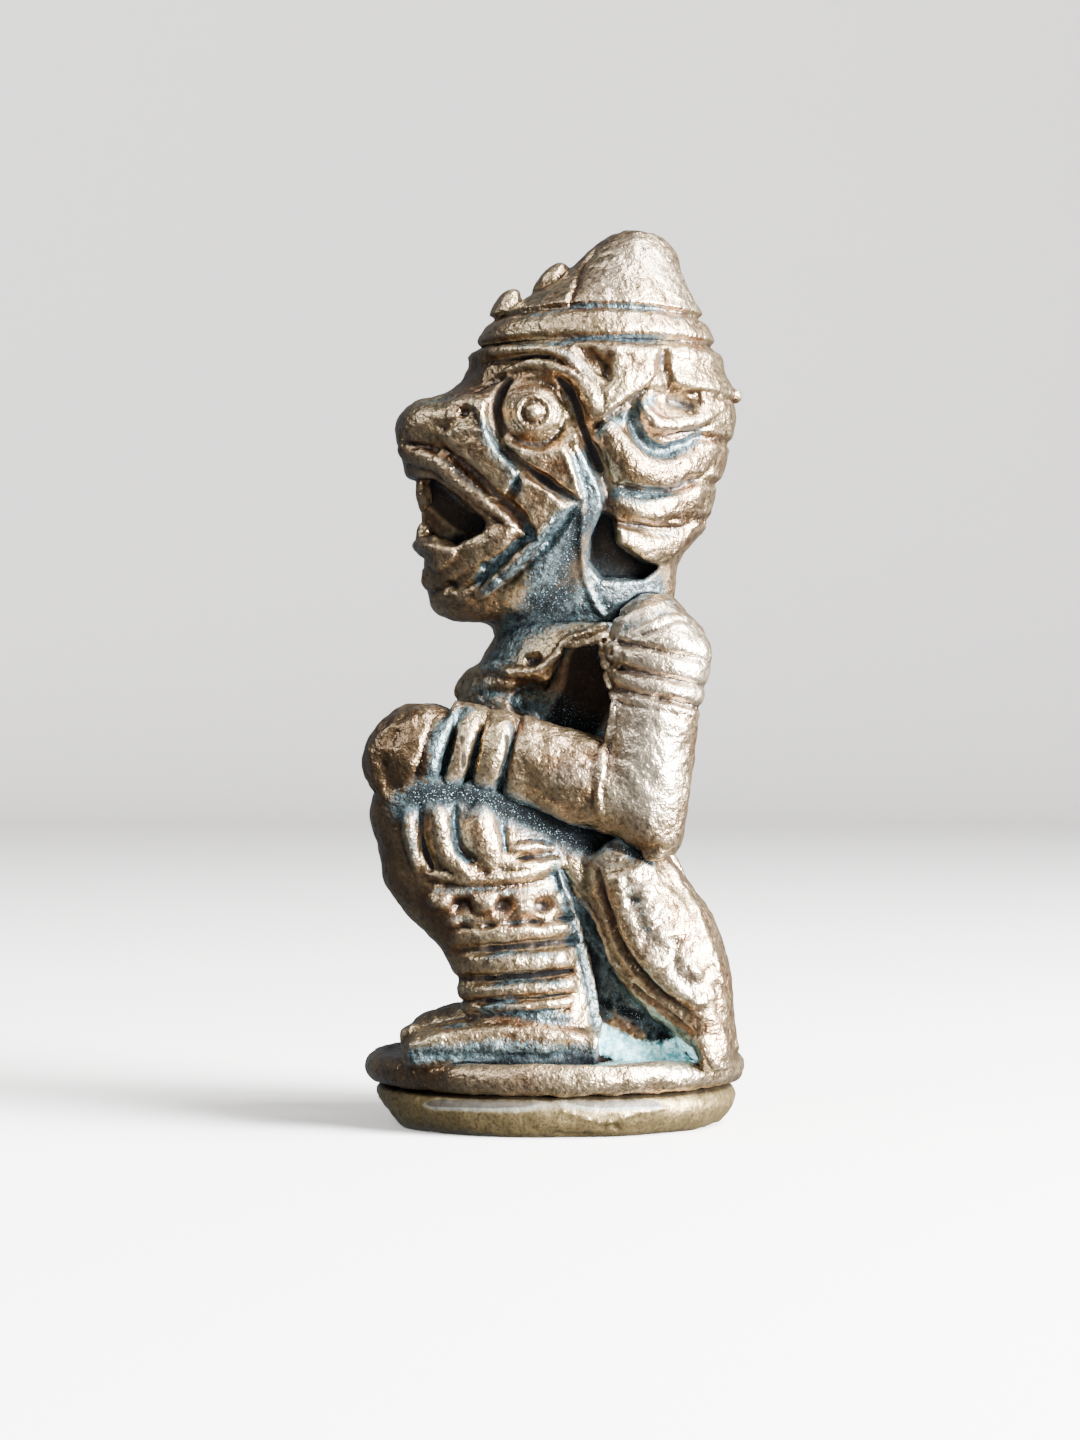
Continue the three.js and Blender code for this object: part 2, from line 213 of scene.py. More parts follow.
def limb(stations, steps=4):
    """A smooth body through oval sections [x, y, z, half width, half depth, lean]."""
    rows = smooth_rows(stations, steps)
    reach = rows[:, 3:5].max()

    def distance(x, y, z):
        best = None
        for before, after in zip(rows, rows[1:]):
            past, left = beyond(before, y, z), -beyond(after, y, z)
            length = np.maximum(np.abs(past) + np.abs(left), TINY)
            share = np.clip(past / length, 0, 1)
            share = np.where(left < 0, 1.0, share)
            cx, cy, cz, across, deep, lean = (a + (b - a) * share for a, b in zip(before, after))
            turn = np.radians(lean)
            w = (y - cy) * np.cos(turn) + (z - cz) * np.sin(turn)
            near = oval_distance((x - cx, across), (w, deep))
            outside = np.maximum(np.maximum(-past, -left), 0)
            near = np.where(outside > 0, np.hypot(np.maximum(near, 0), outside), near)
            best = near if best is None else np.minimum(best, near)
        return best

    return Form(rows[:, :3].min(0) - reach, rows[:, :3].max(0) + reach, distance)


def upright(levels, steps=4):
    """A form on the middle plane, from levels [z, front, back, half width]."""
    rows = smooth_rows(levels, steps)
    heights = rows[:, 0]

    def distance(x, y, z):
        level = z.ravel()
        front, back, across = (np.interp(level, heights, rows[:, i]) for i in (1, 2, 3))
        w = y - ((front + back) / 2)[None, None, :]
        deep = ((back - front) / 2)[None, None, :]
        near = oval_distance((x, across[None, None, :]), (w, deep))
        outside = np.maximum(heights[0] - z, z - heights[-1])
        capped = np.hypot(np.maximum(near, 0), outside)
        return np.where(outside > 0, capped, np.maximum(near, outside))

    reach = rows[:, 3].max()
    low = (-reach, rows[:, 1].min(), heights[0])
    return Form(low, (reach, rows[:, 2].max(), heights[-1]), distance)


FLATTEN = 0.35  # how much a height over the surface counts towards the distance from a line


def nearest(points, radii, x, y, z, normals=None):
    """How far places are from a line, its radius there, their height over it and how far along."""
    best = None
    for i, (start, end, a, b) in enumerate(zip(points, points[1:], radii, radii[1:])):
        along = end - start
        length = max(float(along @ along), 1e-9)
        ox, oy, oz = x - start[0], y - start[1], z - start[2]
        share = np.clip((ox * along[0] + oy * along[1] + oz * along[2]) / length, 0, 1)
        ox, oy, oz = ox - share * along[0], oy - share * along[1], oz - share * along[2]
        off = ox**2 + oy**2 + oz**2
        rise = 0 * off
        if normals is not None:
            facing = normals[i] + normals[i + 1]
            facing = facing / max(np.linalg.norm(facing), 1e-6)
            rise = ox * facing[0] + oy * facing[1] + oz * facing[2]
            off = off - (1 - FLATTEN**2) * rise**2
        off = np.sqrt(np.maximum(off, 0))
        radius = a + (b - a) * share
        found = (off, radius, rise, i + share)
        if best is None:
            best = found
        else:
            closer = off / radius < best[0] / best[1]
            best = tuple(np.where(closer, new, old) for new, old in zip(found, best))
    return best


def cord_line(points, radii, steps=3):
    """A round line through points [x, y, z], with a radius at each."""
    radii = np.broadcast_to(np.asarray(radii, float), (len(points),))
    rows = smooth_rows(np.column_stack([np.asarray(points, float), radii]), steps)
    reach = rows[:, 3].max()

    def distance(x, y, z):
        gap, width = nearest(rows[:, :3], rows[:, 3], x, y, z)[:2]
        return gap - width

    return Form(rows[:, :3].min(0) - reach, rows[:, :3].max(0) + reach, distance)


def outline_distance(outline, u, w):
    """The signed distance from a closed outline in a plane."""
    outline = np.asarray(outline, float)
    gap = np.full(np.broadcast(u, w).shape, 1e9)
    inside = np.zeros(gap.shape, bool)
    for (ua, wa), (ub, wb) in zip(outline, np.roll(outline, -1, axis=0)):
        du, dw = ub - ua, wb - wa
        share = np.clip(((u - ua) * du + (w - wa) * dw) / (du * du + dw * dw), 0, 1)
        gap = np.minimum(gap, (u - ua - share * du) ** 2 + (w - wa - share * dw) ** 2)
        if abs(dw) > 1e-9:
            inside ^= ((wa > w) != (wb > w)) & (u < ua + (w - wa) * du / dw)
    return np.where(inside, -np.sqrt(gap), np.sqrt(gap))


def slab(outline, start, end):
    """A flat body whose outline [y, z] is drawn in the side view."""
    outline = np.asarray(outline, float)

    def distance(x, y, z):
        flat = outline_distance(outline, y[0], z[0])[None]
        return np.maximum(flat, np.abs(x - (start + end) / 2) - (end - start) / 2)

    return Form((start, *outline.min(0)), (end, *outline.max(0)), distance)


def boss(profile, at):
    """A body turned about an axis across the head, from a profile [radius, out]."""
    profile = np.asarray(profile, float)
    cx, cy, cz = at
    reach = profile[:, 0].max()

    def distance(x, y, z):
        radius = np.sqrt((y - cy) ** 2 + (z - cz) ** 2)
        return outline_distance(profile, radius + 0 * x, x - cx + 0 * radius)

    low = (cx + profile[:, 1].min(), cy - reach, cz - reach)
    return Form(low, (cx + profile[:, 1].max(), cy + reach, cz + reach), distance)


def turned(profile, narrow):
    """A body turned about the upright axis, narrowed across."""
    profile = np.asarray(profile, float)
    reach = profile[:, 0].max()

    def distance(x, y, z):
        radius = np.sqrt((x / narrow) ** 2 + y**2)
        return outline_distance(profile, radius + 0 * z, z + 0 * radius)

    low = (-reach * narrow, -reach, profile[:, 1].min())
    return Form(low, (reach * narrow, reach, profile[:, 1].max()), distance)


# The clay.

STROKE_DEPTH = 1.2  # how far past its own relief a stroke still lifts or sinks the surface
STROKE_FADE = 0.6  # over how much of that depth it fades
TUCK_FADE = 0.4  # over how much height a tucked surface draws in
PATCH_DEPTH = 2.5  # how far around an outline's own depth a patch reaches
LUMPS_EDGE = 16  # pixels over which lumps fade at their outline
RAY_STEP = 0.1


class Clay:
    """Signed distances on a grid. It starts as the left half of a box."""

    def __init__(self, low, high, cell):
        self.cell = cell
        self.axes = [np.arange(a + cell / 2, b, cell) for a, b in zip(low, high)]
        self.far = np.full([len(axis) for axis in self.axes], REACH, np.float32)
        self.base = None

    def window(self, low, high, pad):
        spans = []
        for axis, start, end in zip(self.axes, low, high):
            first = max(0, int(np.searchsorted(axis, start - pad)) - 1)
            last = min(len(axis), int(np.searchsorted(axis, end + pad)) + 1)
            spans.append(slice(first, max(last, first + 1)))
        x, y, z = (axis[span] for axis, span in zip(self.axes, spans))
        return tuple(spans), x[:, None, None], y[None, :, None], z[None, None, :]

    def add(self, form, blend=0.4):
        spans, x, y, z = self.window(form.low, form.high, REACH)
        near = form.distance(x, y, z)
        self.far[spans] = np.minimum(soft_min(self.far[spans], near, blend), REACH)

    def cut(self, form, blend=0.4):
        spans, x, y, z = self.window(form.low, form.high, blend + 2 * self.cell)
        near = form.distance(x, y, z)
        self.far[spans] = -soft_min(-self.far[spans], near, blend)

    def keep(self, low, high):
        """Only what lies between two levels is kept, with a flat top and bottom."""
        z = self.axes[2][None, None, :]
        self.far = np.maximum(self.far, np.maximum(low - z, z - high)).astype(np.float32)

    def tuck(self, level, inset=0.25):
        """Draws the surface in above a level, so that the piece above sits over it."""
        z = self.axes[2][None, None, :]
        self.far += (inset * np.clip((z - level) / TUCK_FADE, 0, 1)).astype(np.float32)

    def settle(self):
        """Relief that follows is laid on the surface as it is now."""
        self.base = self.far.copy()

    def both_sides(self):
        """The whole body: the half that is made so far, and its mirror image."""
        whole = copy.copy(self)
        x, y, z = self.axes
        whole.axes = [np.concatenate([-x[::-1], x]), y, z]
        whole.far = np.concatenate([self.far[::-1], self.far])
        whole.base = np.concatenate([self.base[::-1], self.base])
        return whole

    def sample(self, field, points):
        """The field at points, read between the grid's corners."""
        at = [
            np.clip((points[..., i] - self.axes[i][0]) / self.cell, 0, len(self.axes[i]) - 1.001)
            for i in range(3)
        ]
        low = [np.floor(a).astype(int) for a in at]
        total = 0
        for corner, weight in corner_weights([a - b for a, b in zip(at, low)]):
            total = total + weight * field[tuple(a + b for a, b in zip(low, corner))]
        return total

    def normals(self, points, step):
        slope = []
        for axis in range(3):
            offset = np.zeros(3)
            offset[axis] = step
            rise = self.sample(self.base, points + offset) - self.sample(self.base, points - offset)
            slope.append(rise)
        slope = np.stack(slope, axis=-1)
        return slope / np.maximum(np.linalg.norm(slope, axis=-1, keepdims=True), 1e-6)

    def under(self, pixels):
        """The points of the settled surface that show at these pixels of the picture."""
        depth = np.arange(self.axes[0][-1], max(self.axes[0][0], 0.3), -RAY_STEP)
        y, z = in_space(pixels[:, :1], pixels[:, 1:2], depth)
        points = np.stack([np.broadcast_to(depth, y.shape), y, z], axis=-1)
        value = self.sample(self.base, points)
        inside = value < 0
        first = np.where(inside.any(axis=1), inside.argmax(axis=1), value.argmin(axis=1))
        return points[np.arange(len(pixels)), first]

    def laid(self, pixels, steps=4):
        """A smooth line on the surface under these pixels, and the way it faces."""
        points = self.under(smooth_rows(pixels, steps))
        depth = points[:, 0].copy()
        for i in range(len(depth)):  # a ray that slips past an edge takes its neighbours' depth
            depth[i] = np.median(points[max(0, i - 3) : i + 4, 0])
        points[:, 0] = depth
        return points, self.normals(points, 1.0)

    def stroke(self, path, width, rise, shape=soft, ends=(0.6, 0.6)):
        """Lifts the surface along a trail, or sinks it where rise is below zero.

        The width and the rise are each one number, or several spread evenly along the trail.
        """
        points, normals = self.laid(trail(path))
        count = len(points)
        size = evenly(width, count) * taper(count, ends) * PIXEL / 2
        rises = evenly(rise, count)
        deep = np.abs(rises).max() + STROKE_DEPTH
        spans, x, y, z = self.window(points.min(0), points.max(0), max(size.max(), deep))
        gap, radius, height, place = nearest(points, size, x, y, z, normals)
        share = shape(gap / radius) * np.clip((deep - np.abs(height)) / STROKE_FADE, 0, 1)
        lift = np.interp(place, np.arange(count), rises)
        self.far[spans] -= lift * share * (radius / size.max()) ** 0.7

    def dome(self, pixel, width, rise, shape=soft):
        """A rounded swelling at one place, or a dent where rise is below zero."""
        u, v = pixel
        half = width / 6
        self.stroke(f"{u - half:.1f},{v} {u + half:.1f},{v}", width, rise, shape, (1, 1))

    def carve(self, *marks):
        """Strokes along trails and domes at single places, in this order."""
        for mark in marks:
            lay = self.stroke if isinstance(mark[0], str) else self.dome
            lay(*mark)

    def inside(self, outline, edge):
        """The cells near the surface inside an outline in the picture, and how far inside."""
        outline = trail(outline)
        around = self.under(outline)
        spans, x, y, z = self.window(around.min(0), around.max(0), PATCH_DEPTH)
        scale = (CAMERA_AWAY - x * PART) / FOCAL
        u = MIDDLE_U + (y * PART - CAMERA_Y) / scale
        v = MIDDLE_V - (z * PART + FLOOR - CAMERA_Z) / scale
        share = np.clip(0.5 - outline_distance(outline, u + 0 * v, v + 0 * u) / edge, 0, 1)
        return spans, (x, y, z), eased(share)

    def patch(self, outline, rise, edge):
        """Lifts the surface inside an outline in the picture, with an edge of so many pixels."""
        spans, _, share = self.inside(outline, edge)
        self.far[spans] -= rise * share

    def lumps(self, outline, size, rise, seed):
        """Uneven lumps of about this size inside an outline in the picture."""
        spans, axes, share = self.inside(outline, LUMPS_EDGE)
        points = np.stack(np.broadcast_arrays(*axes), axis=-1)
        uneven = grain(points.reshape(-1, 3), size, seed).reshape(share.shape)
        self.far[spans] -= rise * share * uneven

    def band(self, at, along, half, rise, reach, shape=soft, sag=0.0, fade=None):
        """A raised or sunk band all round a form, where a plane crosses it."""
        at = np.asarray(at, float)
        along = np.asarray(along, float) / np.linalg.norm(along)
        spans, x, y, z = self.window(at - reach, at + reach, 0)
        off = (x - at[0]) * along[0] + (y - at[1]) * along[1] + (z - at[2]) * along[2]
        away = (x - at[0]) ** 2 + (y - at[1]) ** 2 + (z - at[2]) ** 2 - off**2
        off = off + sag * (y - at[1]) ** 2
        share = shape(np.abs(off) / half) * np.clip(reach - np.sqrt(np.maximum(away, 0)), 0, 1)
        if fade:
            axis, start, end, least = fade
            place = (y if axis == "y" else z) - start
            share = share * np.clip(place / (end - start), least, 1)
        self.far[spans] -= rise * share


# The head.

HEAD_LEVELS = [
    (52.4, -12, 12.4, 5.4),
    (53.6, -14.6, 13.4, 7.6),
    (56, -15.5, 14, 9),
    (58, -15.8, 14.4, 9.8),
    (61, -16.2, 16, 10.5),
    (64, -17, 18.5, 11.1),
    (68, -17.9, 19.8, 11.8),
    (72, -18.6, 21, 12.4),
    (76, -18.6, 21.9, 12.8),
    (78.4, -17, 21.8, 12.7),
    (80.2, -13, 21.4, 12.6),
    (82, -11, 20.7, 12.4),
    (86, -9.4, 19.3, 11.8),
    (88.8, -7.6, 18.3, 10.9),
    (91, -4.4, 17.3, 9.8),
    (94, 0.6, 15.8, 7.9),
    (97.4, 4, 14.5, 5.6),
    (99, 6.2, 12.9, 3.6),
    (99.7, 8.4, 10.8, 1.4),
]
NECK_LEVELS = [
    (44, -6.4, 13.8, 7.4),
    (48, -7.2, 13.9, 7.4),
    (51.4, -7.4, 14, 7.6),
    (54, -8.4, 14.1, 7.8),
    (58, -8, 14.2, 8.2),
]
EYE = (9.5, -2.6, 76.7)
EYE_RADIUS = 4.2
EYE_PROFILE = [
    (0, -2.6),
    (EYE_RADIUS, -2.6),
    *((EYE_RADIUS * math.sin(t), EYE_RADIUS * math.cos(t) - 0.5) for t in np.linspace(1.57, 0.6, 9)),
    (2.25, 3.2),
    (2.05, 3.45),
    (1.8, 3.5),
    (1.6, 3.25),
    (1.1, 3.3),
    (0.95, 3.7),
    (0.6, 4.1),
    (0, 4.25),
]
CAP_LOW_GROOVE = 85.6
CAP_HIGH_GROOVE = 89.5


def head_core(clay):
    clay.add(upright(HEAD_LEVELS), 0.1)
    clay.add(ball((0, -15.4, 75.6), (6.2, 4.0, 3.9)), 1.6)
    clay.add(ball((4.6, -15.2, 75.4), (3.2, 3.4, 3.2)), 1.2)
    clay.cut(ball((4.2, -19.2, 74.6), (1.1, 1.6, 0.9)), 0.5)
    clay.settle()


def head(cell):
    clay = Clay((0, -21.5, 43.5), (16.4, 24, 87.5), cell)
    head_core(clay)
    clay.add(upright(NECK_LEVELS), 1.6)
    clay.settle()
    mouth(clay)
    eye(clay)
    cheek(clay)
    ear_and_flap(clay)
    hair(clay)
    armhole(clay)
    cap_grooves(clay)
    clay.tuck(CAP_LOW_GROOVE - 0.2)
    clay.keep(40, CAP_LOW_GROOVE + 1.2)
    return clay


def cap(cell):
    clay = Clay((0, -14, 84.6), (14.4, 22, 101), cell)
    head_core(clay)
    for y, z, lean in ((-6.1, 90.2, 32), (-0.6, 93.5, 38)):
        clay.add(ball((0, y, z), (2.6, 1.5, 3.0), lean), 0.8)
    cap_grooves(clay)
    clay.carve(
        ("594,250 582,266 576,284 571,304", 11, -0.55),
        ("546,300 560,284 572,268", 22, 0.25),
        ("690,262 690,285 700,305", 30, -0.3),
        ((606, 256), 12, -0.3),
        ((640, 286), 34, 0.25),
        ((672, 300), 20, -0.25),
    )
    clay.keep(CAP_LOW_GROOVE - 0.1, 110)
    return clay


def cap_grooves(clay):
    for height, half, rise, sag in (
        (CAP_LOW_GROOVE, 0.8, -0.75, 0.0005),
        (CAP_HIGH_GROOVE, 0.75, -0.85, 0.0035),
        ((CAP_LOW_GROOVE + CAP_HIGH_GROOVE) / 2, 1.9, 0.3, 0.002),
        (CAP_LOW_GROOVE - 1.4, 1.1, 0.3, 0.0005),
    ):
        clay.band((0, 5, height), (0, 0, 1), half, rise, 26, soft, sag)


def mouth(clay):
    hollow = [
        (-24, 70.2),
        (-14.6, 69.4),
        (-11.2, 66.8),
        (-8.2, 64),
        (-8.6, 62.6),
        (-12, 60.6),
        (-15, 59.8),
        (-24, 60.4),
    ]
    clay.cut(slab(hollow, 0, 20), 0.5)
    clay.add(slab([(-17, 71), (-16.2, 66), (-15.7, 60), (-15.6, 57), (-6, 57), (-6, 71)], -5, 2), 0.5)
    clay.add(ball((3.0, -14.0, 60.9), (5.4, 3.4, 1.5), 12), 0.4)
    clay.add(ball((6.2, -14.2, 60.9), (1.6, 1.0, 1.8), -20), 0.4)
    for x in (0.9, 2.9):
        for z, tall in ((67.9, 2.4), (62.4, 1.9)):
            clay.add(ball((x, -15.9, z), (1.05, 1.0, tall)), 0.2)


def eye(clay):
    # The socket is deepest before the eye and behind it, where it runs down to the jaw.
    clay.cut(ball((14.2, -2.5, 76.9), (4.4, 5.5, 5.4)), 0.8)
    clay.stroke("508,380 497,394 492,412 496,434 506,450", (12, 20, 22, 18, 12), -1.2)
    clay.stroke("556,375 568,386 576,404 582,426 590,448 602,472", (14, 24, 26, 24, 22), -2.3)
    clay.add(boss(EYE_PROFILE, EYE), 0.3)
    # Two ridges arch over it.
    clay.carve(
        ("466,356 486,352 512,351 540,349 562,356 578,368", 12, 0.8, full),
        ("500,374 516,367 538,363 560,368 578,383 592,400 600,416", (8, 11, 14, 20, 24, 16), 1.0, full),
        ("476,366 500,360 524,357 548,357 568,366 584,380", 8, -1.0, vee),
        ("468,345 500,343 540,342 572,345", 8, -0.8, vee),
        ("474,392 490,382 506,376", 12, -0.7),
        ((484, 360), 14, 0.4),
    )


def cheek(clay):
    # The muzzle over the lip, and the wing of the nose.
    clay.carve(
        ("418,414 445,416 466,422", 50, 0.4),
        ("452,402 470,400 483,410 487,430", (14, 18, 16, 12), 0.7, full),
        ((464, 413), 13, -1.0),
        ("440,428 452,432 462,426", 8, -0.4),
    )
    # A strap from the nose down to the corner of the mouth, in two lengths.
    clay.patch("438,434 464,422 487,430 501,452 519,477 506,499 482,474 458,455", 0.9, 6)
    clay.patch("522,477 546,488 568,507 557,520 545,530 537,541 527,515 514,500", 0.9, 6)
    clay.stroke("524,481 545,490 564,507", 7, 0.4, vee)
    clay.stroke("518,474 514,488 507,501", 9, -1.1, vee)
    clay.patch("512,445 540,451 563,447 574,470 580,498 560,484 538,470 520,458", 0.8, 6)
    # The lips, and the ridge below the lower one.
    clay.carve(
        (
            "402,454 420,457 440,464 456,480 474,494 494,509 514,523",
            (20, 17, 15, 15),
            0.9,
            full,
            (1, 0.7),
        ),
        ("514,526 496,541 476,551 456,561 436,573 424,582", (22, 30, 33, 34, 30), 1.0, full),
        ("552,521 534,546 512,569 494,584 476,598", (15, 19, 18, 13), 1.0, full),
        ("493,567 506,583", 8, -0.9, vee),
        ("436,598 456,596 472,598", 20, 0.5),
        ("418,556 430,552 444,556", 9, -0.9),
        ((485, 567), 11, -1.3),
        ((452, 585), 16, -0.4),
        # The grooves between them.
        ("438,447 456,458 474,474 492,492 510,508 524,523 537,541", (8, 14, 15, 15, 18, 14), -2.1, vee),
        ("404,445 420,446 440,449", 8, -0.8, vee, (0.8, 1)),
        ("534,536 516,547 500,562 484,577 464,590", 12, -1.3, vee),
        ("576,506 558,531 538,553 516,575 496,593", (10, 13, 13, 12), -1.5, vee),
        ("496,444 512,458 530,471 552,486 580,503", (11, 14, 15, 13, 9), -2.0, vee),
        ("487,404 489,420 494,436 502,450", 12, -0.9),
        # The mould's seam down the jaw.
        ("562,446 569,463 575,480 582,499", 9, 0.8, full),
        ("583,503 582,530 582,558 586,582 595,604 605,618", 7, 0.55, full),
        ((577, 441), 9, 0.7),
    )


def ear_and_flap(clay):
    # The cap's flap before the ear: a leaf with a hollow beside it and a raised lower edge.
    clay.patch("612,345 662,345 656,364 637,386 606,409 602,392 612,380", 0.7, 7)
    clay.patch("574,346 593,346 610,366 610,381 598,376 584,362", -0.8, 7)
    clay.carve(
        ("602,413 622,399 642,384 655,370", 9, 0.8, full),
        ("590,434 606,419 626,405 648,390", 11, -1.2, vee),
        ("664,350 665,364 668,380 678,396", 17, -0.9),
    )
    clay.patch("680,340 750,340 755,402 712,404 684,386", 0.3, 18)
    # The hollow of the ear.
    clay.patch("654,390 676,387 696,394 702,404 694,412 672,412 657,404", -0.8, 14)
    clay.stroke("672,400 685,403 697,407", 19, -1.9)


def hair(clay):
    # Deep hollows first, and then the locks that sweep back between them.
    clay.stroke("586,440 597,462 607,482 610,502 606,522", (20, 24, 20, 16), -3.0)
    clay.patch("602,513 613,519 617,544 640,561 656,567 642,578 602,578 590,562 591,536", -4.0, 8)
    clay.carve(
        (
            "633,408 635,426 646,444 664,452 688,444 712,436",
            (18, 23, 23, 18, 12),
            (-2.4, -2.4, -1.8, -0.6),
        ),
        ("612,485 640,489 668,491 694,483 722,466", (10, 12, 13, 10), (-1.8, -1.8, -1.2, -0.5), vee),
        ("608,521 636,526 664,529 688,526 706,514", 10, (-1.4, -1.3, -0.9, -0.4), vee),
        ("641,400 648,416 662,425 690,422 728,411", (13, 16, 17, 14, 12), (1.1, 1.1, 0.8, 0.2), full),
        ("660,437 690,432 728,421", 8, (-0.8, -0.8, -0.3), vee),
        (
            "607,424 617,446 634,467 658,476 690,467 726,446",
            (24, 31, 36, 36, 30, 24),
            (1.4, 1.5, 1.4, 1.0, 0.15),
            full,
        ),
        ("614,500 640,509 668,508 712,490", (18, 24, 26, 20), (1.0, 1.0, 0.6, 0.1), full),
        ("616,531 632,545 654,550 676,546 698,534", (22, 31, 33, 28, 20), (1.4, 1.5, 1.2, 0.4), full),
        ("628,440 642,456 662,464 690,457", 8, (0.5, 0.5, 0.2)),
    )
    clay.lumps("676,488 716,486 704,536 676,540", 1.4, 0.4, 12)
    # Behind, the grooves between the locks run on.
    for height, lean in ((79.6, 0.1), (74.4, 0.1), (69.2, 0.06), (64.6, 0.0)):
        clay.band((0, 16, height), (0, lean, 1), 0.8, -0.5, 9)


# The shoulders, arms and hands.

TRUNK_LEVELS = [
    (24.6, -8, 12.4, 10.6),
    (26, -9.8, 13.6, 11.6),
    (31, -11, 13.9, 10.8),
    (38, -12, 15.4, 10),
    (44, -11.6, 16.4, 10.4),
    (47.4, -9, 16.4, 10.4),
    (50.4, -7.4, 15.4, 9.4),
    (52, -6.4, 14.6, 8.6),
]
BACK_LEVELS = [
    (26, 5, 13, 12.2),
    (36, 7.6, 15.4, 14.4),
    (44, 8, 16.8, 15.4),
    (50, 6.6, 17, 16.4),
    (53.6, 7.4, 15.8, 14),
    (55.4, 9.6, 14, 10),
]
ARM_LEAN = -7
ARM = [
    (15.2, 11.8, 24.8, 2, 2.2, ARM_LEAN),
    (15.2, 10.8, 27, 4, 4.2, ARM_LEAN),
    (15.5, 10.3, 32, 4.8, 5.5, ARM_LEAN),
    (15.8, 11.8, 42, 4.9, 5.2, ARM_LEAN),
    (15, 12.2, 48.6, 5.4, 6.2, ARM_LEAN),
    (14.4, 12, 52, 4.8, 5, ARM_LEAN),
    (13.8, 11.8, 54.2, 2.4, 2.6, ARM_LEAN),
]
FOREARM = [
    (15.2, 12.4, 29.8, 4, 4.1, 72),
    (14.8, 4.6, 32.8, 4.8, 5.3, 72),
    (14, -3, 35.4, 4.6, 5.2, 74),
    (13.2, -13, 37.6, 4.6, 5.2, 78),
]
ARMHOLE = "566,646 584,641 601,638 606,662 613,700 612,728 600,742 570,736 540,718 546,690 558,664"


def armhole(clay):
    """The deep hollow before the arm, under the shirt's torn edge."""
    outline = np.column_stack(in_space(*trail(ARMHOLE).T, 13))
    clay.cut(slab(outline, 7, 22), 0.7)
    clay.cut(ball((11.5, -2.5, 42.4), (5.0, 4.4, 3.0), 20), 0.8)


def torso(cell):
    clay = Clay((0, -23.8, 22.68), (22.2, 19.6, 57.5), cell)
    clay.add(upright(TRUNK_LEVELS), 0.6)
    clay.add(upright(BACK_LEVELS), 0.8)
    clay.settle()
    collar(clay)
    armhole(clay)
    clay.add(limb(ARM), 0.6)
    clay.add(limb(FOREARM), 0.7)
    clay.add(ball((12.8, -15.9, 36), (5.9, 6.5, 6.3)), 0.8)
    clay.settle()
    shoulder(clay)
    forearm(clay)
    hand(clay)
    return clay


def collar(clay):
    clay.carve(
        (
            "604,626 586,634 568,641 559,653 548,664 534,673 516,673 498,668 480,670 466,678 458,690",
            (10, 12, 13, 15, 18, 16),
            (0.9, 0.9, 0.8, 0.7),
            full,
            (1, 1),
        ),
        ("548,688 522,694 496,692 474,694", 16, -0.8),
        ((532, 660), 17, -1.5),
        ((518, 680), 9, -0.8),
        ((498, 664), 14, 0.5),
    )


def shoulder(clay):
    # Rings round the arm, which tilt down towards the back.
    tilted = (0, 0.22, 1)
    for height, half, rise, shape in (
        (48.4, 0.7, -0.6, soft),
        (46.9, 1.2, 0.35, full),
        (45.4, 0.7, -0.75, soft),
        (44.2, 1.1, 0.35, full),
        (42.9, 0.7, -0.75, soft),
        (41.4, 0.5, -0.3, soft),
    ):
        clay.band((15.5, 12, height), tilted, half, rise, 7.8, shape, 0, ("y", 19, 14.5, 0.1))
    # Folds over the shoulder, and the shirt's edge curled into a scroll.
    clay.carve(
        ("634,637 652,630 670,622 692,617", 9, -0.8, vee),
        ("608,624 640,613 668,604 690,603", 13, 0.5),
        ("614,634 640,623 664,613 688,609", 9, -0.6, vee),
        ("611,616 620,613 630,612", 8, -0.8),
        ("607,607 618,604 630,602", 9, 0.5, full),
        ("660,640 690,640", 26, 0.35),
        ("612,642 604,650 605,662 611,669 618,660 618,648 612,642", 7, 0.9, full, (1, 1)),
        ((611, 655), 9, -1.2),
        # The torn flash down the arm's front edge.
        ("605,670 612,688 616,706 613,724 609,742", 7, 1.0, full),
        ("603,742 601,766 598,790 600,815", 7, 0.45, full),
        ("566,645 584,641 602,636", 9, 0.9, full),
    )
    clay.lumps("620,705 690,708 684,800 660,850 610,850 604,760", 2.4, 0.22, 5)


def forearm(clay):
    # Bracelets.
    across = (0, -0.96, 0.27)
    for y, half, rise, shape in (
        (-15.3, 0.7, -0.35, soft),
        (-13.9, 1.0, 0.5, full),
        (-12.4, 0.75, -1.4, soft),
        (-10.8, 1.0, 0.6, full),
        (-9.1, 0.75, -1.4, soft),
        (-7.2, 1.3, 0.65, full),
        (-5.1, 0.7, -1.2, soft),
    ):
        clay.band((13.5, y, 37.4), across, half, rise, 6.8, shape, 0, ("z", 41.8, 38.6, 0.05))
    clay.dome((654, 853), 24, 1.0)
    clay.lumps("520,715 600,745 600,835 500,800", 1.7, 0.3, 9)


def hand(clay):
    for number in range(4):
        across = 9.4 + 2.2 * number
        front = -15.4 - 6.0 * math.sqrt(1 - ((across - 12.6) / 7.5) ** 2)
        steps = ((1.6, 39.4), (0.2, 37), (0, 34), (1.0, 31.4))
        points = [(across, front + back, height) for back, height in steps]
        clay.add(cord_line(points, (0.8, 1.2, 1.15, 0.8)), 0.9)
    clay.carve(
        ("390,722 380,731 372,736", 5, -0.6),
        ("386,738 376,748 368,753", 5, -0.6),
        ("381,758 373,778 371,798", 5, -0.5),
        ("380,700 396,706 410,702", 14, 0.3),
    )
    clay.lumps("375,710 430,700 428,795 380,800", 1.5, 0.25, 8)


# The legs.

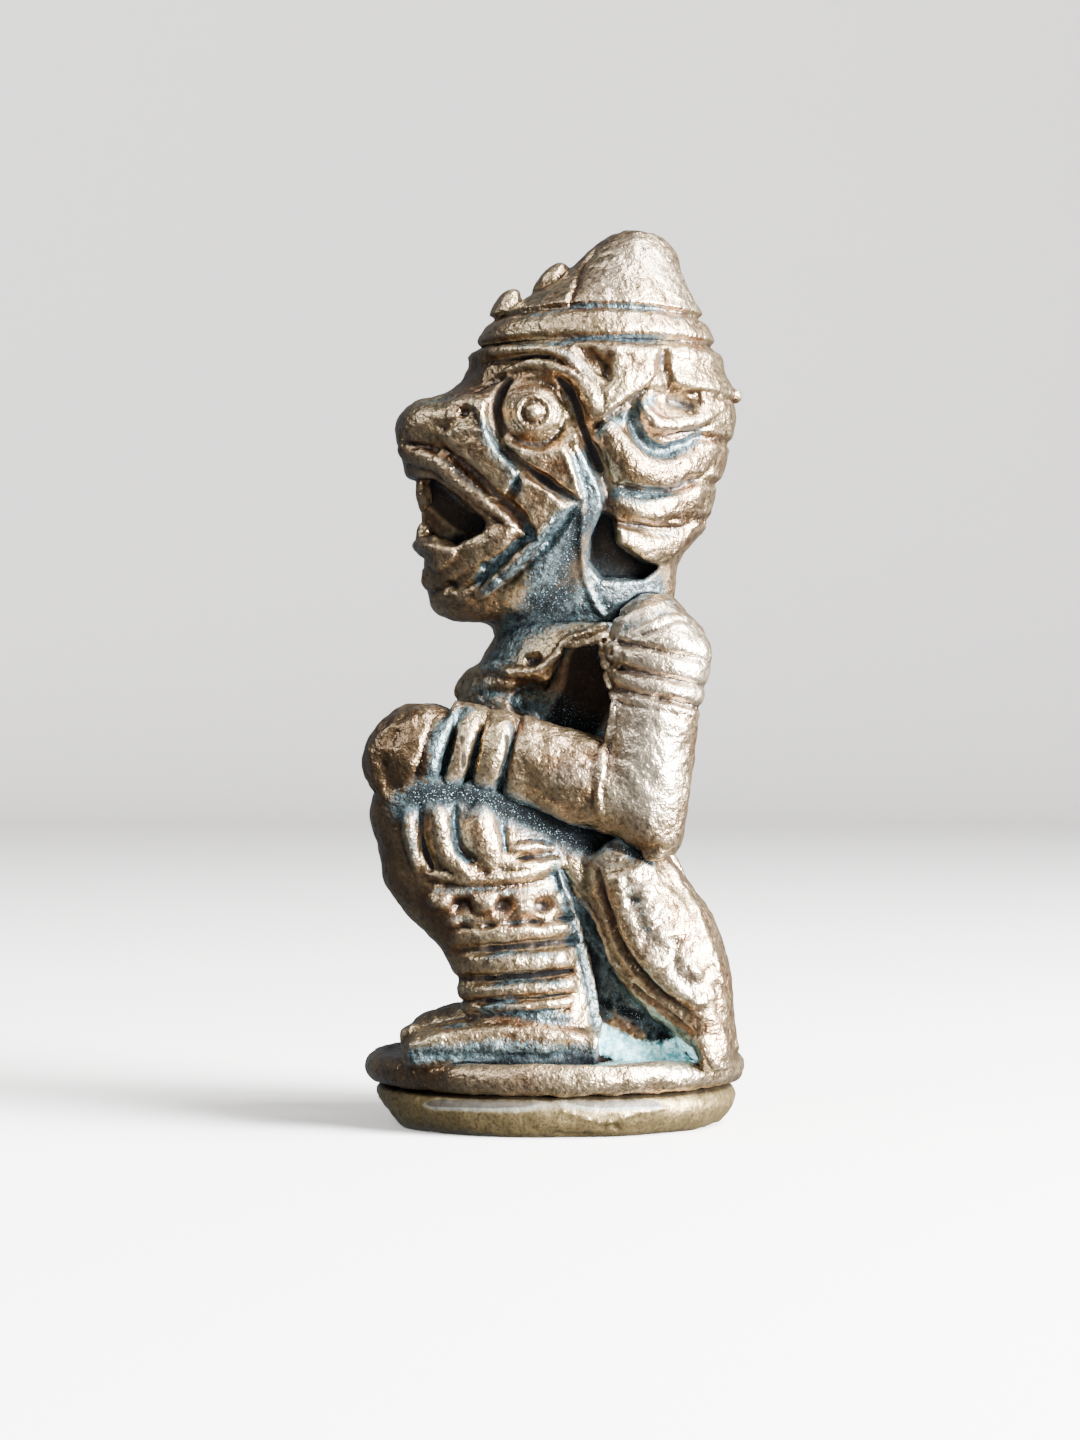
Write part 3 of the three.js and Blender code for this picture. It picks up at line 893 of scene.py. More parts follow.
SEAT_LEVELS = [
    (-1, -4, 22.4, 10.4),
    (8, -5, 21, 10.6),
    (17, -7.2, 17.4, 11),
    (24, -9, 13, 11),
    (28, -9.6, 12.6, 9.6),
    (30, -8, 11.6, 7.6),
]
THIGH = [
    (7.6, 11, 15, 6, 7, 60),
    (8.8, 2.6, 22, 5.4, 6.8, 60),
    (11, -6, 27, 5.4, 6, 60),
    (12.2, -12, 30, 5.6, 6, 60),
]
SHIN = [
    (11.6, -2.4, -1, 5.2, 7.8, 6),
    (11.6, -3.1, 6, 5.1, 7.8, 6),
    (11.7, -4.7, 12.6, 5, 8.1, 6),
    (11.9, -7.4, 18.2, 5.3, 9.1, 12),
    (12.1, -10.6, 24, 5.9, 9.9, 20),
    (12.3, -13.6, 29.4, 6, 8.4, 30),
]
FOOT = [
    (11.4, 4.6, 1.8, 4.9, 2.8, 92),
    (11.8, -3, 2.4, 5.4, 3.6, 92),
    (12.2, -10, 2.0, 5.3, 3.4, 98),
    (12.6, -16, 1.2, 4.6, 2.5, 100),
    (12.6, -18, 0.6, 2.6, 1.4, 100),
]
HAUNCH = [
    (9, 18.8, -1, 6.4, 2.4, 0),
    (9, 18, 3, 7, 3.6, 20),
    (9.4, 15.6, 8.6, 7.8, 5.8, 30),
    (9.8, 12.6, 14, 8, 6.8, 30),
    (10, 9, 20.6, 7.4, 5.8, 30),
    (10, 6.4, 26, 5.8, 4.6, 30),
]
SHIN_MIDDLE = (12, -7.5)
HAUNCH_OUTLINE = "600,858 668,858 700,905 728,980 730,1030 690,1018 640,962 612,915"


def legs(cell):
    clay = Clay((0, -23.8, -2.2), (21.6, 23.8, 38), cell)
    clay.add(upright(SEAT_LEVELS), 0.6)
    clay.add(limb(THIGH), 0.7)
    clay.add(limb(SHIN), 0.6)
    clay.add(ball((12.4, -15.2, 29.4), (6.2, 6.8, 6.8)), 1.2)
    clay.add(limb(FOOT), 0.6)
    clay.add(limb(HAUNCH), 0.8)
    clay.settle()
    trousers(clay)
    lower_leg(clay)
    haunch(clay)
    clay.add(cord_line([(4, 13, 25), (4.8, 18.6, 13), (5.2, 21, 1)], 1.1), 0.8)
    clay.keep(-1.6, 60)
    return clay


def trousers(clay):
    # Pleats hang under the hand, with deep gaps between them, over a raised hem.
    clay.carve(
        ("407,814 410,838 416,868", (14, 16, 12), 0.8, full),
        ("420,804 421,830 425,852 432,870", 9, -1.8, vee),
        ("438,810 440,836 447,856 462,868 480,870", (22, 22, 20, 14), 1.1, full),
        ("456,806 457,834 463,852 476,861", (10, 11, 9), -1.9, vee),
        ("481,812 483,836 490,860", (30, 34, 28), 1.3, full, (0.8, 0.8)),
        ("504,814 505,836 508,852", 9, -1.2, vee),
        ("428,874 460,878 500,877 540,871 562,864", 9, 0.7, full),
        ("424,883 470,888 520,885 560,877", 8, -1.0, vee),
        ("512,850 530,847 554,848", 9, 0.9, full),
        ("508,867 532,865 559,860", 9, 0.9, full),
        ("513,859 552,855", 8, -1.0, vee),
        ("510,841 532,838 556,840", 7, -0.5, vee),
    )
    clay.lumps("400,795 560,800 640,850 560,862 510,845 500,812 400,812", 1.6, 0.25, 4)


def lower_leg(clay):
    # Rings round the shin, lower towards its front edge.
    along = (0, -0.083, 1)
    for height, half, rise, shape in (
        (18.8, 2.4, -0.35, soft),
        (16.3, 0.6, -0.8, vee),
        (15.2, 0.9, 0.75, full),
        (13.6, 0.8, -1.0, soft),
        (11.7, 1.25, 0.95, full),
        (10.1, 0.75, -1.1, soft),
        (8.5, 0.85, 0.7, full),
        (7.5, 0.5, -0.8, vee),
        (6.6, 0.6, 0.5, full),
        (5.7, 0.5, -0.7, vee),
    ):
        clay.band((*SHIN_MIDDLE, height), along, half, rise, 10.4, shape, 0, ("y", -13, -7.5, 0.06))
    # A row of studs with pits between them.
    clay.carve(
        ((440, 901), 25, 1.2),
        ((484, 903), 27, 1.3),
        ((524, 905), 29, 1.2),
        ((561, 899), 30, 1.1),
        ((463, 906), 24, -1.0),
        ((505, 906), 24, -1.2),
        ((544, 906), 20, -0.9),
        ((452, 922), 15, 0.6),
        ((476, 925), 14, 0.5),
        ((500, 926), 14, 0.6),
        ((524, 924), 14, 0.5),
        ((548, 921), 14, 0.5),
        ("559,868 568,900 577,930 586,962 592,1000 600,1036", 11, 0.8, full),
        # The foot: a wedge with a flat top plane; its toe's knob is raised in flaws, on the near side
        # only.
        ("408,1043 440,1038 480,1031 520,1033 560,1036 600,1039", 20, 0.5, soft, (0.7, 1)),
        ("410,1056 460,1057 520,1056 598,1055", 16, (-0.3, -0.45, -0.45, -0.2)),
        ("430,1027 480,1017 540,1021 598,1027", 11, -0.4),
    )
    clay.lumps("602,990 640,1008 690,1040 690,1064 602,1064", 1.1, 0.5, 21)
    clay.stroke("700,1036 706,1050 712,1064", 26, 0.8)
    clay.stroke("421,1034 423,1046", 6, -0.5, vee)
    clay.lumps("410,1025 600,1020 600,1060 405,1060", 1.5, 0.25, 6)


def haunch(clay):
    clay.carve(
        (
            "560,868 580,902 598,938 616,968 640,992 668,1012 690,1026",
            (12, 18, 22, 22, 18, 10),
            (-2.1, -2.1, -2.1, -1.8, -0.8),
        ),
        ("572,886 592,922 610,954 634,984 664,1006 694,1027", 9, (1.2, 1.2, 1.0, 0.5), full),
        (
            "597,868 606,902 617,936 636,966 660,990 696,1018",
            (9, 11, 13, 13, 10),
            (-1.8, -1.8, -1.8, -1.2, -0.3),
            vee,
        ),
        ("620,880 626,915 640,948 664,980 696,1004", (22, 30, 34, 30, 20), 0.7),
        ("668,862 690,900 708,945 724,990", 18, 0.4),
    )
    for size, rise, seed in ((1.7, 0.35, 3), (0.9, 0.18, 7)):
        clay.lumps(HAUNCH_OUTLINE, size, rise, seed)
    clay.carve(
        ((614, 880), 24, 0.6),
        ((634, 900), 16, -0.4),
        ((650, 888), 18, 0.4),
        ((652, 918), 22, 0.5),
        ((660, 962), 24, 0.8),
        ((676, 940), 15, -0.35),
        ((692, 972), 26, 0.5),
        ((700, 1000), 20, 0.5),
    )


# The base.

BASE_RADIUS = 6.4 / PART
BASE_NARROW = 11.8 / 12.8
RIM_LOW = (1.38 - FLOOR) / PART
RIM_HIGH = (2.42 - FLOOR) / PART
DISC_RADIUS = 6.1 / PART
DISC_LOW = -FLOOR / PART


def rim(cell):
    clay = Clay((0, -23.8, -3.9), (22, 23.8, 0.9), cell)
    bulge = 0.55 / PART
    middle = (RIM_LOW + RIM_HIGH) / 2
    half = (RIM_HIGH - RIM_LOW) / 2
    turns = np.linspace(-math.pi / 2, math.pi / 2, 9)
    edge = [(BASE_RADIUS - bulge * (1 - math.cos(t)), middle + half * math.sin(t)) for t in turns]
    clay.add(turned([(0, RIM_LOW), *edge, (BASE_RADIUS - bulge - 0.5, 0), (0, 0)], BASE_NARROW), 0.1)
    clay.settle()
    clay.lumps("370,1058 760,1058 760,1098 370,1098", 4.5, 0.3, 2)
    clay.carve(
        ("560,1070 640,1069 700,1070", 8, 0.25),
        ((436, 1078), 22, -0.3),
        ((656, 1086), 26, -0.25),
    )
    return clay


def disc(cell):
    clay = Clay((0, -23.2, DISC_LOW - 0.8), (21.4, 23.2, -2.6), cell)
    wall, low = DISC_RADIUS, DISC_LOW
    top = (1.44 - FLOOR) / PART
    profile = [
        (0, low),
        (wall - 2.4, low),
        (wall - 1.4, low + 0.5),
        (wall - 0.6, low + 1.4),
        (wall - 0.1, low + 2.5),
        (wall, low + 3.3),
        (wall - 0.15, low + 3.9),
        (wall - 0.45, low + 4.4),
        (wall - 0.95, low + 4.8),
        (wall - 1.9, top),
        (0, top),
    ]
    clay.add(turned(profile, BASE_NARROW), 0.1)
    clay.cut(ball((0, -24.6, low - 1.2), (15, 5.6, 3.6), -20), 2.4)
    clay.cut(ball((0, 25.2, low - 1.6), (14, 5, 3), 10), 1.6)
    clay.settle()
    for size, rise, seed in ((3.4, 0.25, 11), (1.2, 0.14, 12)):
        clay.lumps("380,1096 760,1096 760,1142 380,1142", size, rise, seed)
    clay.dome((470, 1122), 40, 0.3)
    return clay


def flaws(clays):
    """The raised toe and the small faults that only the near side has."""
    clays["legs"].dome((410, 1034), 26, 1.3)
    clays["head"].add(ball((0.6, 21.7, 79.7), (0.9, 1.0, 0.8)), 0.4)
    clays["head"].dome((577, 434), 7, 0.6)
    clays["base_disc"].stroke("596,1136 609,1124 624,1136", 6, -0.9, vee)
    clays["base_disc"].stroke("556,1133 574,1137 590,1133", 9, -0.8)
    clays["base_disc"].stroke("560,1110 585,1118 609,1123 640,1112 700,1104", 5, 0.35)


# The skin.


def unpinched(far, cell):
    """Distances in which the body nowhere touches itself along just an edge: such places fill."""
    far = far.copy()
    while True:
        inside = far < 0
        fill = np.zeros_like(inside)
        for across, along in ((0, 1), (1, 2), (0, 2)):
            places = []
            for i, j in itertools.product((0, 1), repeat=2):
                place = [slice(None)] * 3
                place[across] = slice(i, far.shape[across] - 1 + i)
                place[along] = slice(j, far.shape[along] - 1 + j)
                places.append(tuple(place))
            a, b, c, d = (inside[place] for place in places)
            pinched = (a == d) & (b == c) & (a != b)
            for place in places:
                fill[place] |= pinched
        fill &= ~inside
        if not fill.any():
            return far
        far[fill] = -0.05 * cell


def skinned(clay):
    """The surface of the clay as points and quads, one point in each cell it passes."""
    far = unpinched(clay.far, clay.cell)
    inside = far < 0
    count = np.zeros([n - 1 for n in far.shape], np.int8)
    for i, j, k in CORNERS:
        count += inside[i : i + count.shape[0], j : j + count.shape[1], k : k + count.shape[2]]
    passed = (count > 0) & (count < 8)
    cells = np.argwhere(passed)
    number = np.full(count.shape, -1, np.int64)
    number[passed] = np.arange(len(cells))
    value = {c: far[tuple((cells + c).T)].astype(float) for c in CORNERS}
    total = np.zeros((len(cells), 3))
    hits = np.zeros(len(cells))
    for start in CORNERS:
        for axis in range(3):
            if start[axis]:
                continue
            end = tuple(c + (a == axis) for a, c in enumerate(start))
            a, b = value[start], value[end]
            crossed = (a < 0) != (b < 0)
            share = np.where(crossed, a / np.where(crossed, a - b, 1), 0)
            point = np.broadcast_to(np.array(start, float), total.shape).copy()
            point[:, axis] += share
            total += np.where(crossed[:, None], point, 0)
            hits += crossed
    points = (cells + total / hits[:, None]) * clay.cell + [axis[0] for axis in clay.axes]
    quads = []
    for axis in range(3):
        u, w = (axis + 1) % 3, (axis + 2) % 3
        first = [slice(1, -1)] * 3
        second = [slice(1, -1)] * 3
        first[axis] = slice(0, -1)
        second[axis] = slice(1, None)
        a, b = inside[tuple(first)], inside[tuple(second)]
        edges = np.argwhere(a != b)
        outward = a[tuple(edges.T)]
        edges = edges + [0 if i == axis else 1 for i in range(3)]
        ring = []
        for du, dw in ((1, 1), (0, 1), (0, 0), (1, 0)):
            at = edges.copy()
            at[:, u] -= du
            at[:, w] -= dw
            ring.append(number[tuple(at.T)])
        ring = np.stack(ring, axis=1)
        quads.append(np.where(outward[:, None], ring, ring[:, ::-1]))
    return one_shell(points, np.concatenate(quads))


def edges_of(quads):
    pairs = np.concatenate([quads[:, [i, (i + 1) % 4]] for i in range(4)])
    return np.unique(np.sort(pairs, axis=1), axis=0)


def one_shell(points, quads):
    """The largest skin that hangs together. Specks beside it and bubbles in it are dropped."""
    pairs = edges_of(quads)
    label, before = np.arange(len(points)), None
    while before is None or not np.array_equal(label, before):
        before = label
        low = np.minimum(label[pairs[:, 0]], label[pairs[:, 1]])
        label = label.copy()
        np.minimum.at(label, pairs[:, 0], low)
        np.minimum.at(label, pairs[:, 1], low)
        label = label[label]
    kept = label == np.bincount(label).argmax()
    number = np.cumsum(kept) - 1
    return points[kept], number[quads[kept[quads[:, 0]]]]


def relaxed(points, edges, times, share=0.5):
    """Points moved towards their neighbours' mean, this many times."""
    a, b = edges.T
    degree = np.bincount(edges.ravel(), minlength=len(points))
    for _ in range(times):
        mean = np.empty_like(points)
        for axis in range(3):
            mean[:, axis] = np.bincount(a, points[b, axis], len(points))
            mean[:, axis] += np.bincount(b, points[a, axis], len(points))
        points = points + share * (mean / degree[:, None] - points)
    return points


def skin_normals(points, quads):
    a, b, c, d = (points[quads[:, i]] for i in range(4))
    facing = np.cross(c - a, d - b)
    normals = np.zeros_like(points)
    for i in range(4):
        for axis in range(3):
            normals[:, axis] += np.bincount(quads[:, i], facing[:, axis], len(points))
    return normals / np.maximum(np.linalg.norm(normals, axis=1, keepdims=True), 1e-12)


def blurred(field, radius):
    """A box blur of the field, radius in cells."""
    for axis in range(3):
        pad = [(0, 0)] * 3
        pad[axis] = (radius + 1, radius)
        run = np.cumsum(np.pad(field, pad, mode="edge"), axis=axis, dtype=np.float64)
        width = 2 * radius + 1
        high = [slice(None)] * 3
        low = [slice(None)] * 3
        high[axis] = slice(width, None)
        low[axis] = slice(0, -width)
        field = ((run[tuple(high)] - run[tuple(low)]) / width).astype(np.float32)
    return field


def gathered(clays, cell=0.5):
    """The whole figure on one coarser grid."""
    whole = Clay((-24, -24, DISC_LOW - 4), (24, 24, 103), cell)
    for clay in clays:
        low = [axis[0] for axis in clay.axes]
        high = [axis[-1] for axis in clay.axes]
        spans, x, y, z = whole.window(low, high, -cell)
        points = np.stack(np.broadcast_arrays(x, y, z), axis=-1)
        whole.far[spans] = np.minimum(whole.far[spans], clay.sample(clay.far, points))
    whole.settle()
    return whole


# Where the picture shows grey-blue patina and turquoise bloom, and where it is black, pale or
# brown: trails in it, how far each spreads in pixels, and its strength. The black trails are
# painted shade over some dark metal, the pale ones painted highlight, and the brown ones darker
# metal with painted shade on the parts turned from the light.
PATINA = [
    ("500,655 525,625 560,606 596,602", 34, 1.0),
    ("540,600 548,570 560,545 572,520", 26, 1.1),
    ("577,462 588,484 596,510 592,540 588,580", 15, 1.1),
    ("484,426 492,446 510,468 517,488", 11, 0.9),
    ("424,404 440,398 456,400", 11, 0.8),
    ("470,408 482,420", 10, 0.6),
    ("562,512 546,534 528,556 508,576 482,596", 10, 1.2),
    ("532,532 512,548 494,563 478,582", 9, 1.2),
    ("446,460 464,478 484,498", 5, 0.8),
    ("600,584 630,584 664,588", 26, 1.0),
    ("616,606 650,604 690,602", 14, 0.8),
    ("616,630 650,618 684,608", 9, 0.8),
    ("636,420 648,446 670,448 700,436", 12, 1.0),
    ("656,398 640,406 612,424 596,436", 9, 1.0),
    ("618,494 640,499 690,488", 11, 0.9),
    ("640,534 670,534 700,520", 7, 0.7),
    ("470,690 500,700 540,700 580,728", 26, 0.8),
    ("404,806 440,796 500,804 550,828 604,848", 26, 1.0),
    ("408,812 413,860", 9, 0.8),
    ("452,812 455,850 466,862", 8, 0.9),
    ("500,816 503,850", 8, 0.9),
    ("520,822 540,838 560,850", 18, 0.7),
    ("436,812 440,840", 6, 0.6),
    ("430,890 480,892 540,890 560,884", 6, 0.7),
    ("452,918 500,922 552,918", 5, 0.7),
    ("575,850 600,860 640,858", 16, 0.6),
    ("552,866 566,900 576,940 588,985 597,1025", 12, 1.0),
    ("585,870 620,860 650,866", 14, 0.6),
    ("578,900 596,940 612,970 606,1000", 14, 0.7),
    ("480,956 530,956 575,950", 7, 0.9),
    ("486,984 540,984 590,978", 8, 0.9),
    ("450,1024 500,1006 530,1014 596,1022", 10, 1.0),
    ("408,1056 440,1054 480,1050 520,1050 560,1052 598,1054", 15, 1.0),
    ("604,990 625,1005 655,1022", 20, 1.0),
    ("468,706 448,722 437,745 435,784", 12, 1.1),
    ("446,740 447,775", 6, 0.9),
    ("476,735 475,775", 6, 0.9),
    ("512,722 506,760 500,792", 6, 1.1),
    ("500,313 540,315 580,306 620,304 660,312 690,319", 6, 0.9),
    ("480,344 540,345 580,341 640,338 700,340", 7, 0.9),
    ("560,348 590,376", 9, 0.7),
    ("640,352 664,358", 10, 0.5),
    ("392,1102 440,1105 520,1107 600,1106 640,1105 690,1101", 8, 1.0),
    ("626,880 640,910 650,940", 10, 0.6),
]
VERDIGRIS = [
    ("604,1040 622,1048 650,1056 684,1056", 15, 1.0),
    ("664,1052 682,1044 694,1054", 9, 1.0),
    ("604,1030 610,1036", 8, 0.7),
]
# Black trails: black in the deepest places, and painted shade under the hand, in the throat and
# armhole, behind the jaw, below the base's rim and along the haunch's groove.
BLACK_AND_SHADE = [
    ("676,403 686,405 696,408", 7, 0.55),
    ("586,432 594,452 600,468", 7, 0.9),
    ("606,500 606,520 603,540", 6, 0.6),
    ("604,534 610,552 624,566 642,572", 26, 1.3),
    ("562,377 574,396 582,418 588,438", 8, 0.9),
    ("509,382 501,396 499,412 504,432", 10, 0.8),
    ("420,796 450,793 480,799 520,813 560,831 600,848", 22, 0.67),
    ("582,520 574,556 562,590 536,606", 30, 0.62),
    ("604,590 640,592 668,596", 18, 0.4),
    ("388,1100 440,1103 520,1105 600,1104 640,1103 700,1099", 6, 0.9),
    ("572,724 588,696 594,664", 30, 1.2),
    ("430,490 450,510 470,524 490,528", 16, 0.9),
    ("463,738 464,776", 4, 0.9),
    ("505,738 500,780", 5, 0.9),
    ("600,842 630,852 650,862", 7, 0.8),
    ("566,880 592,920 618,964 650,998 690,1022", 8, 0.5),
    ("600,1000 614,1008 640,1016", 9, 0.7),
    ("463,907 464,909", 7, 0.4),
    ("505,907 506,909", 8, 0.45),
    ("544,907 545,909", 6, 0.35),
    ("424,822 425,850 432,866", 5, 0.8),
]
# Pale trails: painted highlight on the shoulder, arm, cap, haunch and rim, where the light strikes.
PAINTED_HIGHLIGHT = [
    ("612,632 650,622 690,640 694,680", 40, 0.65),
    ("630,700 650,740 645,790", 50, 0.65),
    ("640,650 660,690", 30, 0.55),
    ("640,890 655,940 690,990", 30, 0.45),
    ("600,1070 680,1070 735,1080", 14, 0.6),
    ("610,290 640,250 690,290", 40, 0.5),
    ("560,776 600,770", 20, 0.4),
]
# Brown trails: darker metal, and painted shade on the hand, nose, lips, shin and rim front and the
# locks' lower edges, which are turned from the light.
BROWN_AND_SHADE = [
    ("380,790 390,740 410,715 400,780 420,770", 34, 1.2),
    ("404,430 400,450", 30, 0.8),
    ("412,470 440,500 430,560 450,590", 24, 0.8),
    ("440,560 470,560 500,535", 14, 0.5),
    ("450,1082 400,1078 378,1075", 30, 1.0),
    ("390,820 392,870 420,900 440,930", 26, 1.0),
    ("480,350 484,380 494,400", 22, 0.9),
    ("570,640 590,636 602,660", 10, 0.8),
    ("612,440 650,470 700,455", 32, 0.95),
    ("620,510 660,520 700,505", 32, 0.7),
    ("640,480 680,472 712,452", 14, 1.0),
    ("640,524 690,516 715,500", 12, 1.0),
    ("650,545 690,530", 26, 0.55),
    ("612,484 640,490 680,489 712,474", 8, 0.9),
    ("630,470 654,480 690,474", 8, 0.7),
    ("650,560 676,552 700,536", 10, 0.8),
    ("640,345 652,366 676,392 700,402", 9, 0.8),
    ("660,415 690,410 716,402", 7, 0.7),
    ("480,341 560,333 640,333 710,338", 5, 0.7),
    ("500,312 560,306 640,308 690,318", 4, 0.6),
    ("636,660 670,656 700,650", 4, 0.8),
    ("634,680 670,676 700,670", 4, 0.8),
    ("634,700 670,696 700,690", 5, 0.8),
    ("540,790 590,815 650,852", 16, 0.6),
    ("440,816 446,856 480,866", 14, 0.6),
    ("480,820 488,858", 14, 0.5),
    ("430,904 480,906 560,902", 14, 0.5),
    ("660,548 690,540 700,520", 12, 0.4),
    ("470,672 500,668 530,675", 8, 0.8),
    ("540,780 580,800 640,840", 22, 0.5),
    ("600,450 620,475 650,486", 8, 0.8),
    ("636,425 650,432 700,428", 6, 0.8),
    ("612,520 640,526 680,524", 7, 0.8),
    ("590,358 602,374", 9, 0.8),
    ("664,356 666,380", 8, 0.8),
    ("588,400 590,425", 9, 0.8),
    ("536,392 524,440 548,444", 12, 0.5),
]
TRAILS = {"patina": PATINA, "verdigris": VERDIGRIS, "brown_and_shade": BROWN_AND_SHADE, "black_and_shade": BLACK_AND_SHADE, "pale": PAINTED_HIGHLIGHT}


def spread(points, whole, trails):
    """How far points lie inside soft trails over the figure; both sides alike."""
    share = np.zeros(len(points))
    mirror = points.copy()
    mirror[:, 0] = np.abs(mirror[:, 0])
    for path, radius, strength in trails:
        line, _ = whole.laid(trail(path), 3)
        reach = radius * PIXEL * 1.5
        close = np.all((mirror > line.min(0) - reach) & (mirror < line.max(0) + reach), axis=1)
        gap = nearest(line, np.full(len(line), reach), *mirror[close].T)[0]
        share[close] = np.maximum(share[close], strength * soft(np.minimum(gap / reach, 1)))
    return share


def placed(name, data):
    """A new object in the scene."""
    thing = bpy.data.objects.new(name, data)
    bpy.context.collection.objects.link(thing)
    return thing


# Unevenness of the casting: [size of the bumps, how high they are], in hundredths.
UNEVEN = [(6.0, 0.13), (2.6, 0.1), (1.3, 0.1), (0.85, 0.09)]
# How far out from the skin its surroundings are felt, in hundredths, and how far round, in cells.
SHELTER = (1.2, 6)
HOLLOW = (0.4, 2)


def add_piece(name, clay, whole, filled, unevenness):
    """The clay's skin as a piece of the scene, with what its colours follow as attributes."""
    points, quads = skinned(clay)
    edges = edges_of(quads)
    points = relaxed(points, edges, 1, 0.4)
    normals = skin_normals(points, quads)
    values = {key: whole.sample(field, points + normals * out) for key, field, out in filled}
    bent = relaxed(points, edges, 6) - points
    values["crease"] = np.einsum("ij,ij->i", bent, normals)
    for key, trails in TRAILS.items():
        values[key] = spread(points, whole, trails)
    rough = sum(high * grain(points, size, seed) for seed, (size, high) in enumerate(UNEVEN))
    points = points + normals * (rough * unevenness)[:, None]
    corners = points * PART
    corners[:, 2] = np.maximum(corners[:, 2] + FLOOR, 0)
    mesh = bpy.data.meshes.new(name)
    mesh.vertices.add(len(corners))
    mesh.vertices.foreach_set("co", (corners * MM).astype(np.float32).ravel())
    mesh.loops.add(quads.size)
    mesh.loops.foreach_set("vertex_index", quads.astype(np.int32).ravel())
    mesh.polygons.add(len(quads))
    mesh.polygons.foreach_set("loop_start", np.arange(0, quads.size, 4, dtype=np.int32))
    mesh.update(calc_edges=True)
    mesh.validate()
    mesh.shade_smooth()
    for key, value in values.items():
        layer = mesh.attributes.new(key, "FLOAT", "POINT")
        layer.data.foreach_set("value", value.astype(np.float32))
    print(name, len(points), "points", len(quads) * 2, "triangles")
    return placed(name, mesh)


# The material.


class Nodes:
    """Short calls for the nodes of one material."""

    def __init__(self, name):
        self.material = bpy.data.materials.new(name)
        self.material.use_nodes = True
        self.tree = self.material.node_tree
        self.shader = self.tree.nodes["Principled BSDF"]
        self.coords = self.tree.nodes.new("ShaderNodeTexCoord").outputs["Object"]

    def link(self, source, target):
        self.tree.links.new(source, target)

    def put(self, value, socket):
        if isinstance(value, bpy.types.NodeSocket):
            self.link(value, socket)
        elif isinstance(value, tuple) and socket.type == "RGBA":
            socket.default_value = (*value, 1)
        else:
            socket.default_value = value

    def node(self, kind, output, **inputs):
        """A node with these inputs, by name or number, and one of its outputs."""
        node = self.tree.nodes.new("ShaderNode" + kind)
        for key, value in inputs.items():
            key = key.replace("_", " ")
            self.put(value, node.inputs[int(key) if key.isdigit() else key])
        return node, node.outputs[output]

    def attribute(self, name):
        node, output = self.node("Attribute", "Fac")
        node.attribute_name = name
        return output

    def noise(self, size, detail=3.0, roughness=0.55, distortion=0.0):
        """Noise whose lumps are about this many millimetres wide."""
        kinds = {"Detail": detail, "Roughness": roughness, "Distortion": distortion}
        return self.node("TexNoise", "Fac", Vector=self.coords, Scale=1 / (size * MM), **kinds)[1]

    def math(self, kind, a, b):
        node, output = self.node("Math", 0, **{"0": a, "1": b})
        node.operation = kind
        return output

    def plus(self, a, b, share=None):
        """The sum of a and b, or of a and a share of b."""
        return self.math("ADD", a, b if share is None else self.math("MULTIPLY", b, share))

    def highest(self, value, *others):
        for other in others:
            value = self.math("MAXIMUM", value, other)
        return value

    def ramp(self, value, low, high, to_low=0.0, to_high=1.0):
        ends = {"From_Min": low, "From_Max": high, "To_Min": to_low, "To_Max": to_high}
        node, output = self.node("MapRange", "Result", Value=value, **ends)
        node.interpolation_type = "SMOOTHSTEP"
        return output

    def mix(self, share, a, b, most=None):
        """Colour a turning to b by a share, or by this much of the share at most."""
        node = self.tree.nodes.new("ShaderNodeMix")
        node.data_type = "RGBA"
        share = share if most is None else self.math("MULTIPLY", share, most)
        for socket, value in (("Factor", share), (6, a), (7, b)):
            self.put(value, node.inputs[socket])
        return node.outputs[2]

    def bump(self, height, distance, strength, below=None):
        inputs = {"Height": height, "Distance": distance * MM, "Strength": strength}
        if below is not None:
            inputs["Normal"] = below
        return self.node("Bump", "Normal", **inputs)[1]

    def finish(self, **inputs):
        """Sets the shader's inputs, and its coat follows the same bumps as the metal."""
        for key, value in inputs.items():
            self.put(value, self.shader.inputs[key.replace("_", " ")])
        self.put(inputs["Normal"], self.shader.inputs["Coat Normal"])
        return self.material


# Colours, as linear red, green and blue.
BROWN_METAL = (0.17, 0.084, 0.036)
GOLD_METAL = (0.25, 0.182, 0.094)
RAISED_METAL = (0.46, 0.355, 0.22)
PAINTED_HIGHLIGHT_METAL = (0.74, 0.62, 0.47)
DARK_METAL_AND_SHADE = (0.085, 0.047, 0.02)
DARK_GRAIN = (0.08, 0.05, 0.026)
LINE = (0.022, 0.016, 0.014)
DEEP_BLUE = (0.008, 0.018, 0.023)
GREY_BLUE = (0.06, 0.115, 0.135)
GLINT_SPECK = (0.3, 0.42, 0.45)
BLACK = (0.0025, 0.0026, 0.003)
TURQUOISE = (0.14, 0.46, 0.53)
PALE_TURQUOISE = (0.6, 0.97, 1)
BRASS_DARK = (0.13, 0.092, 0.036)
BRASS_LIGHT = (0.3, 0.222, 0.1)
BRASS_GRAIN = (0.08, 0.055, 0.028)
BRASS_PATINA = (0.09, 0.13, 0.14)
BRASS_BLACK_AND_SHADE = (0.04, 0.028, 0.018)


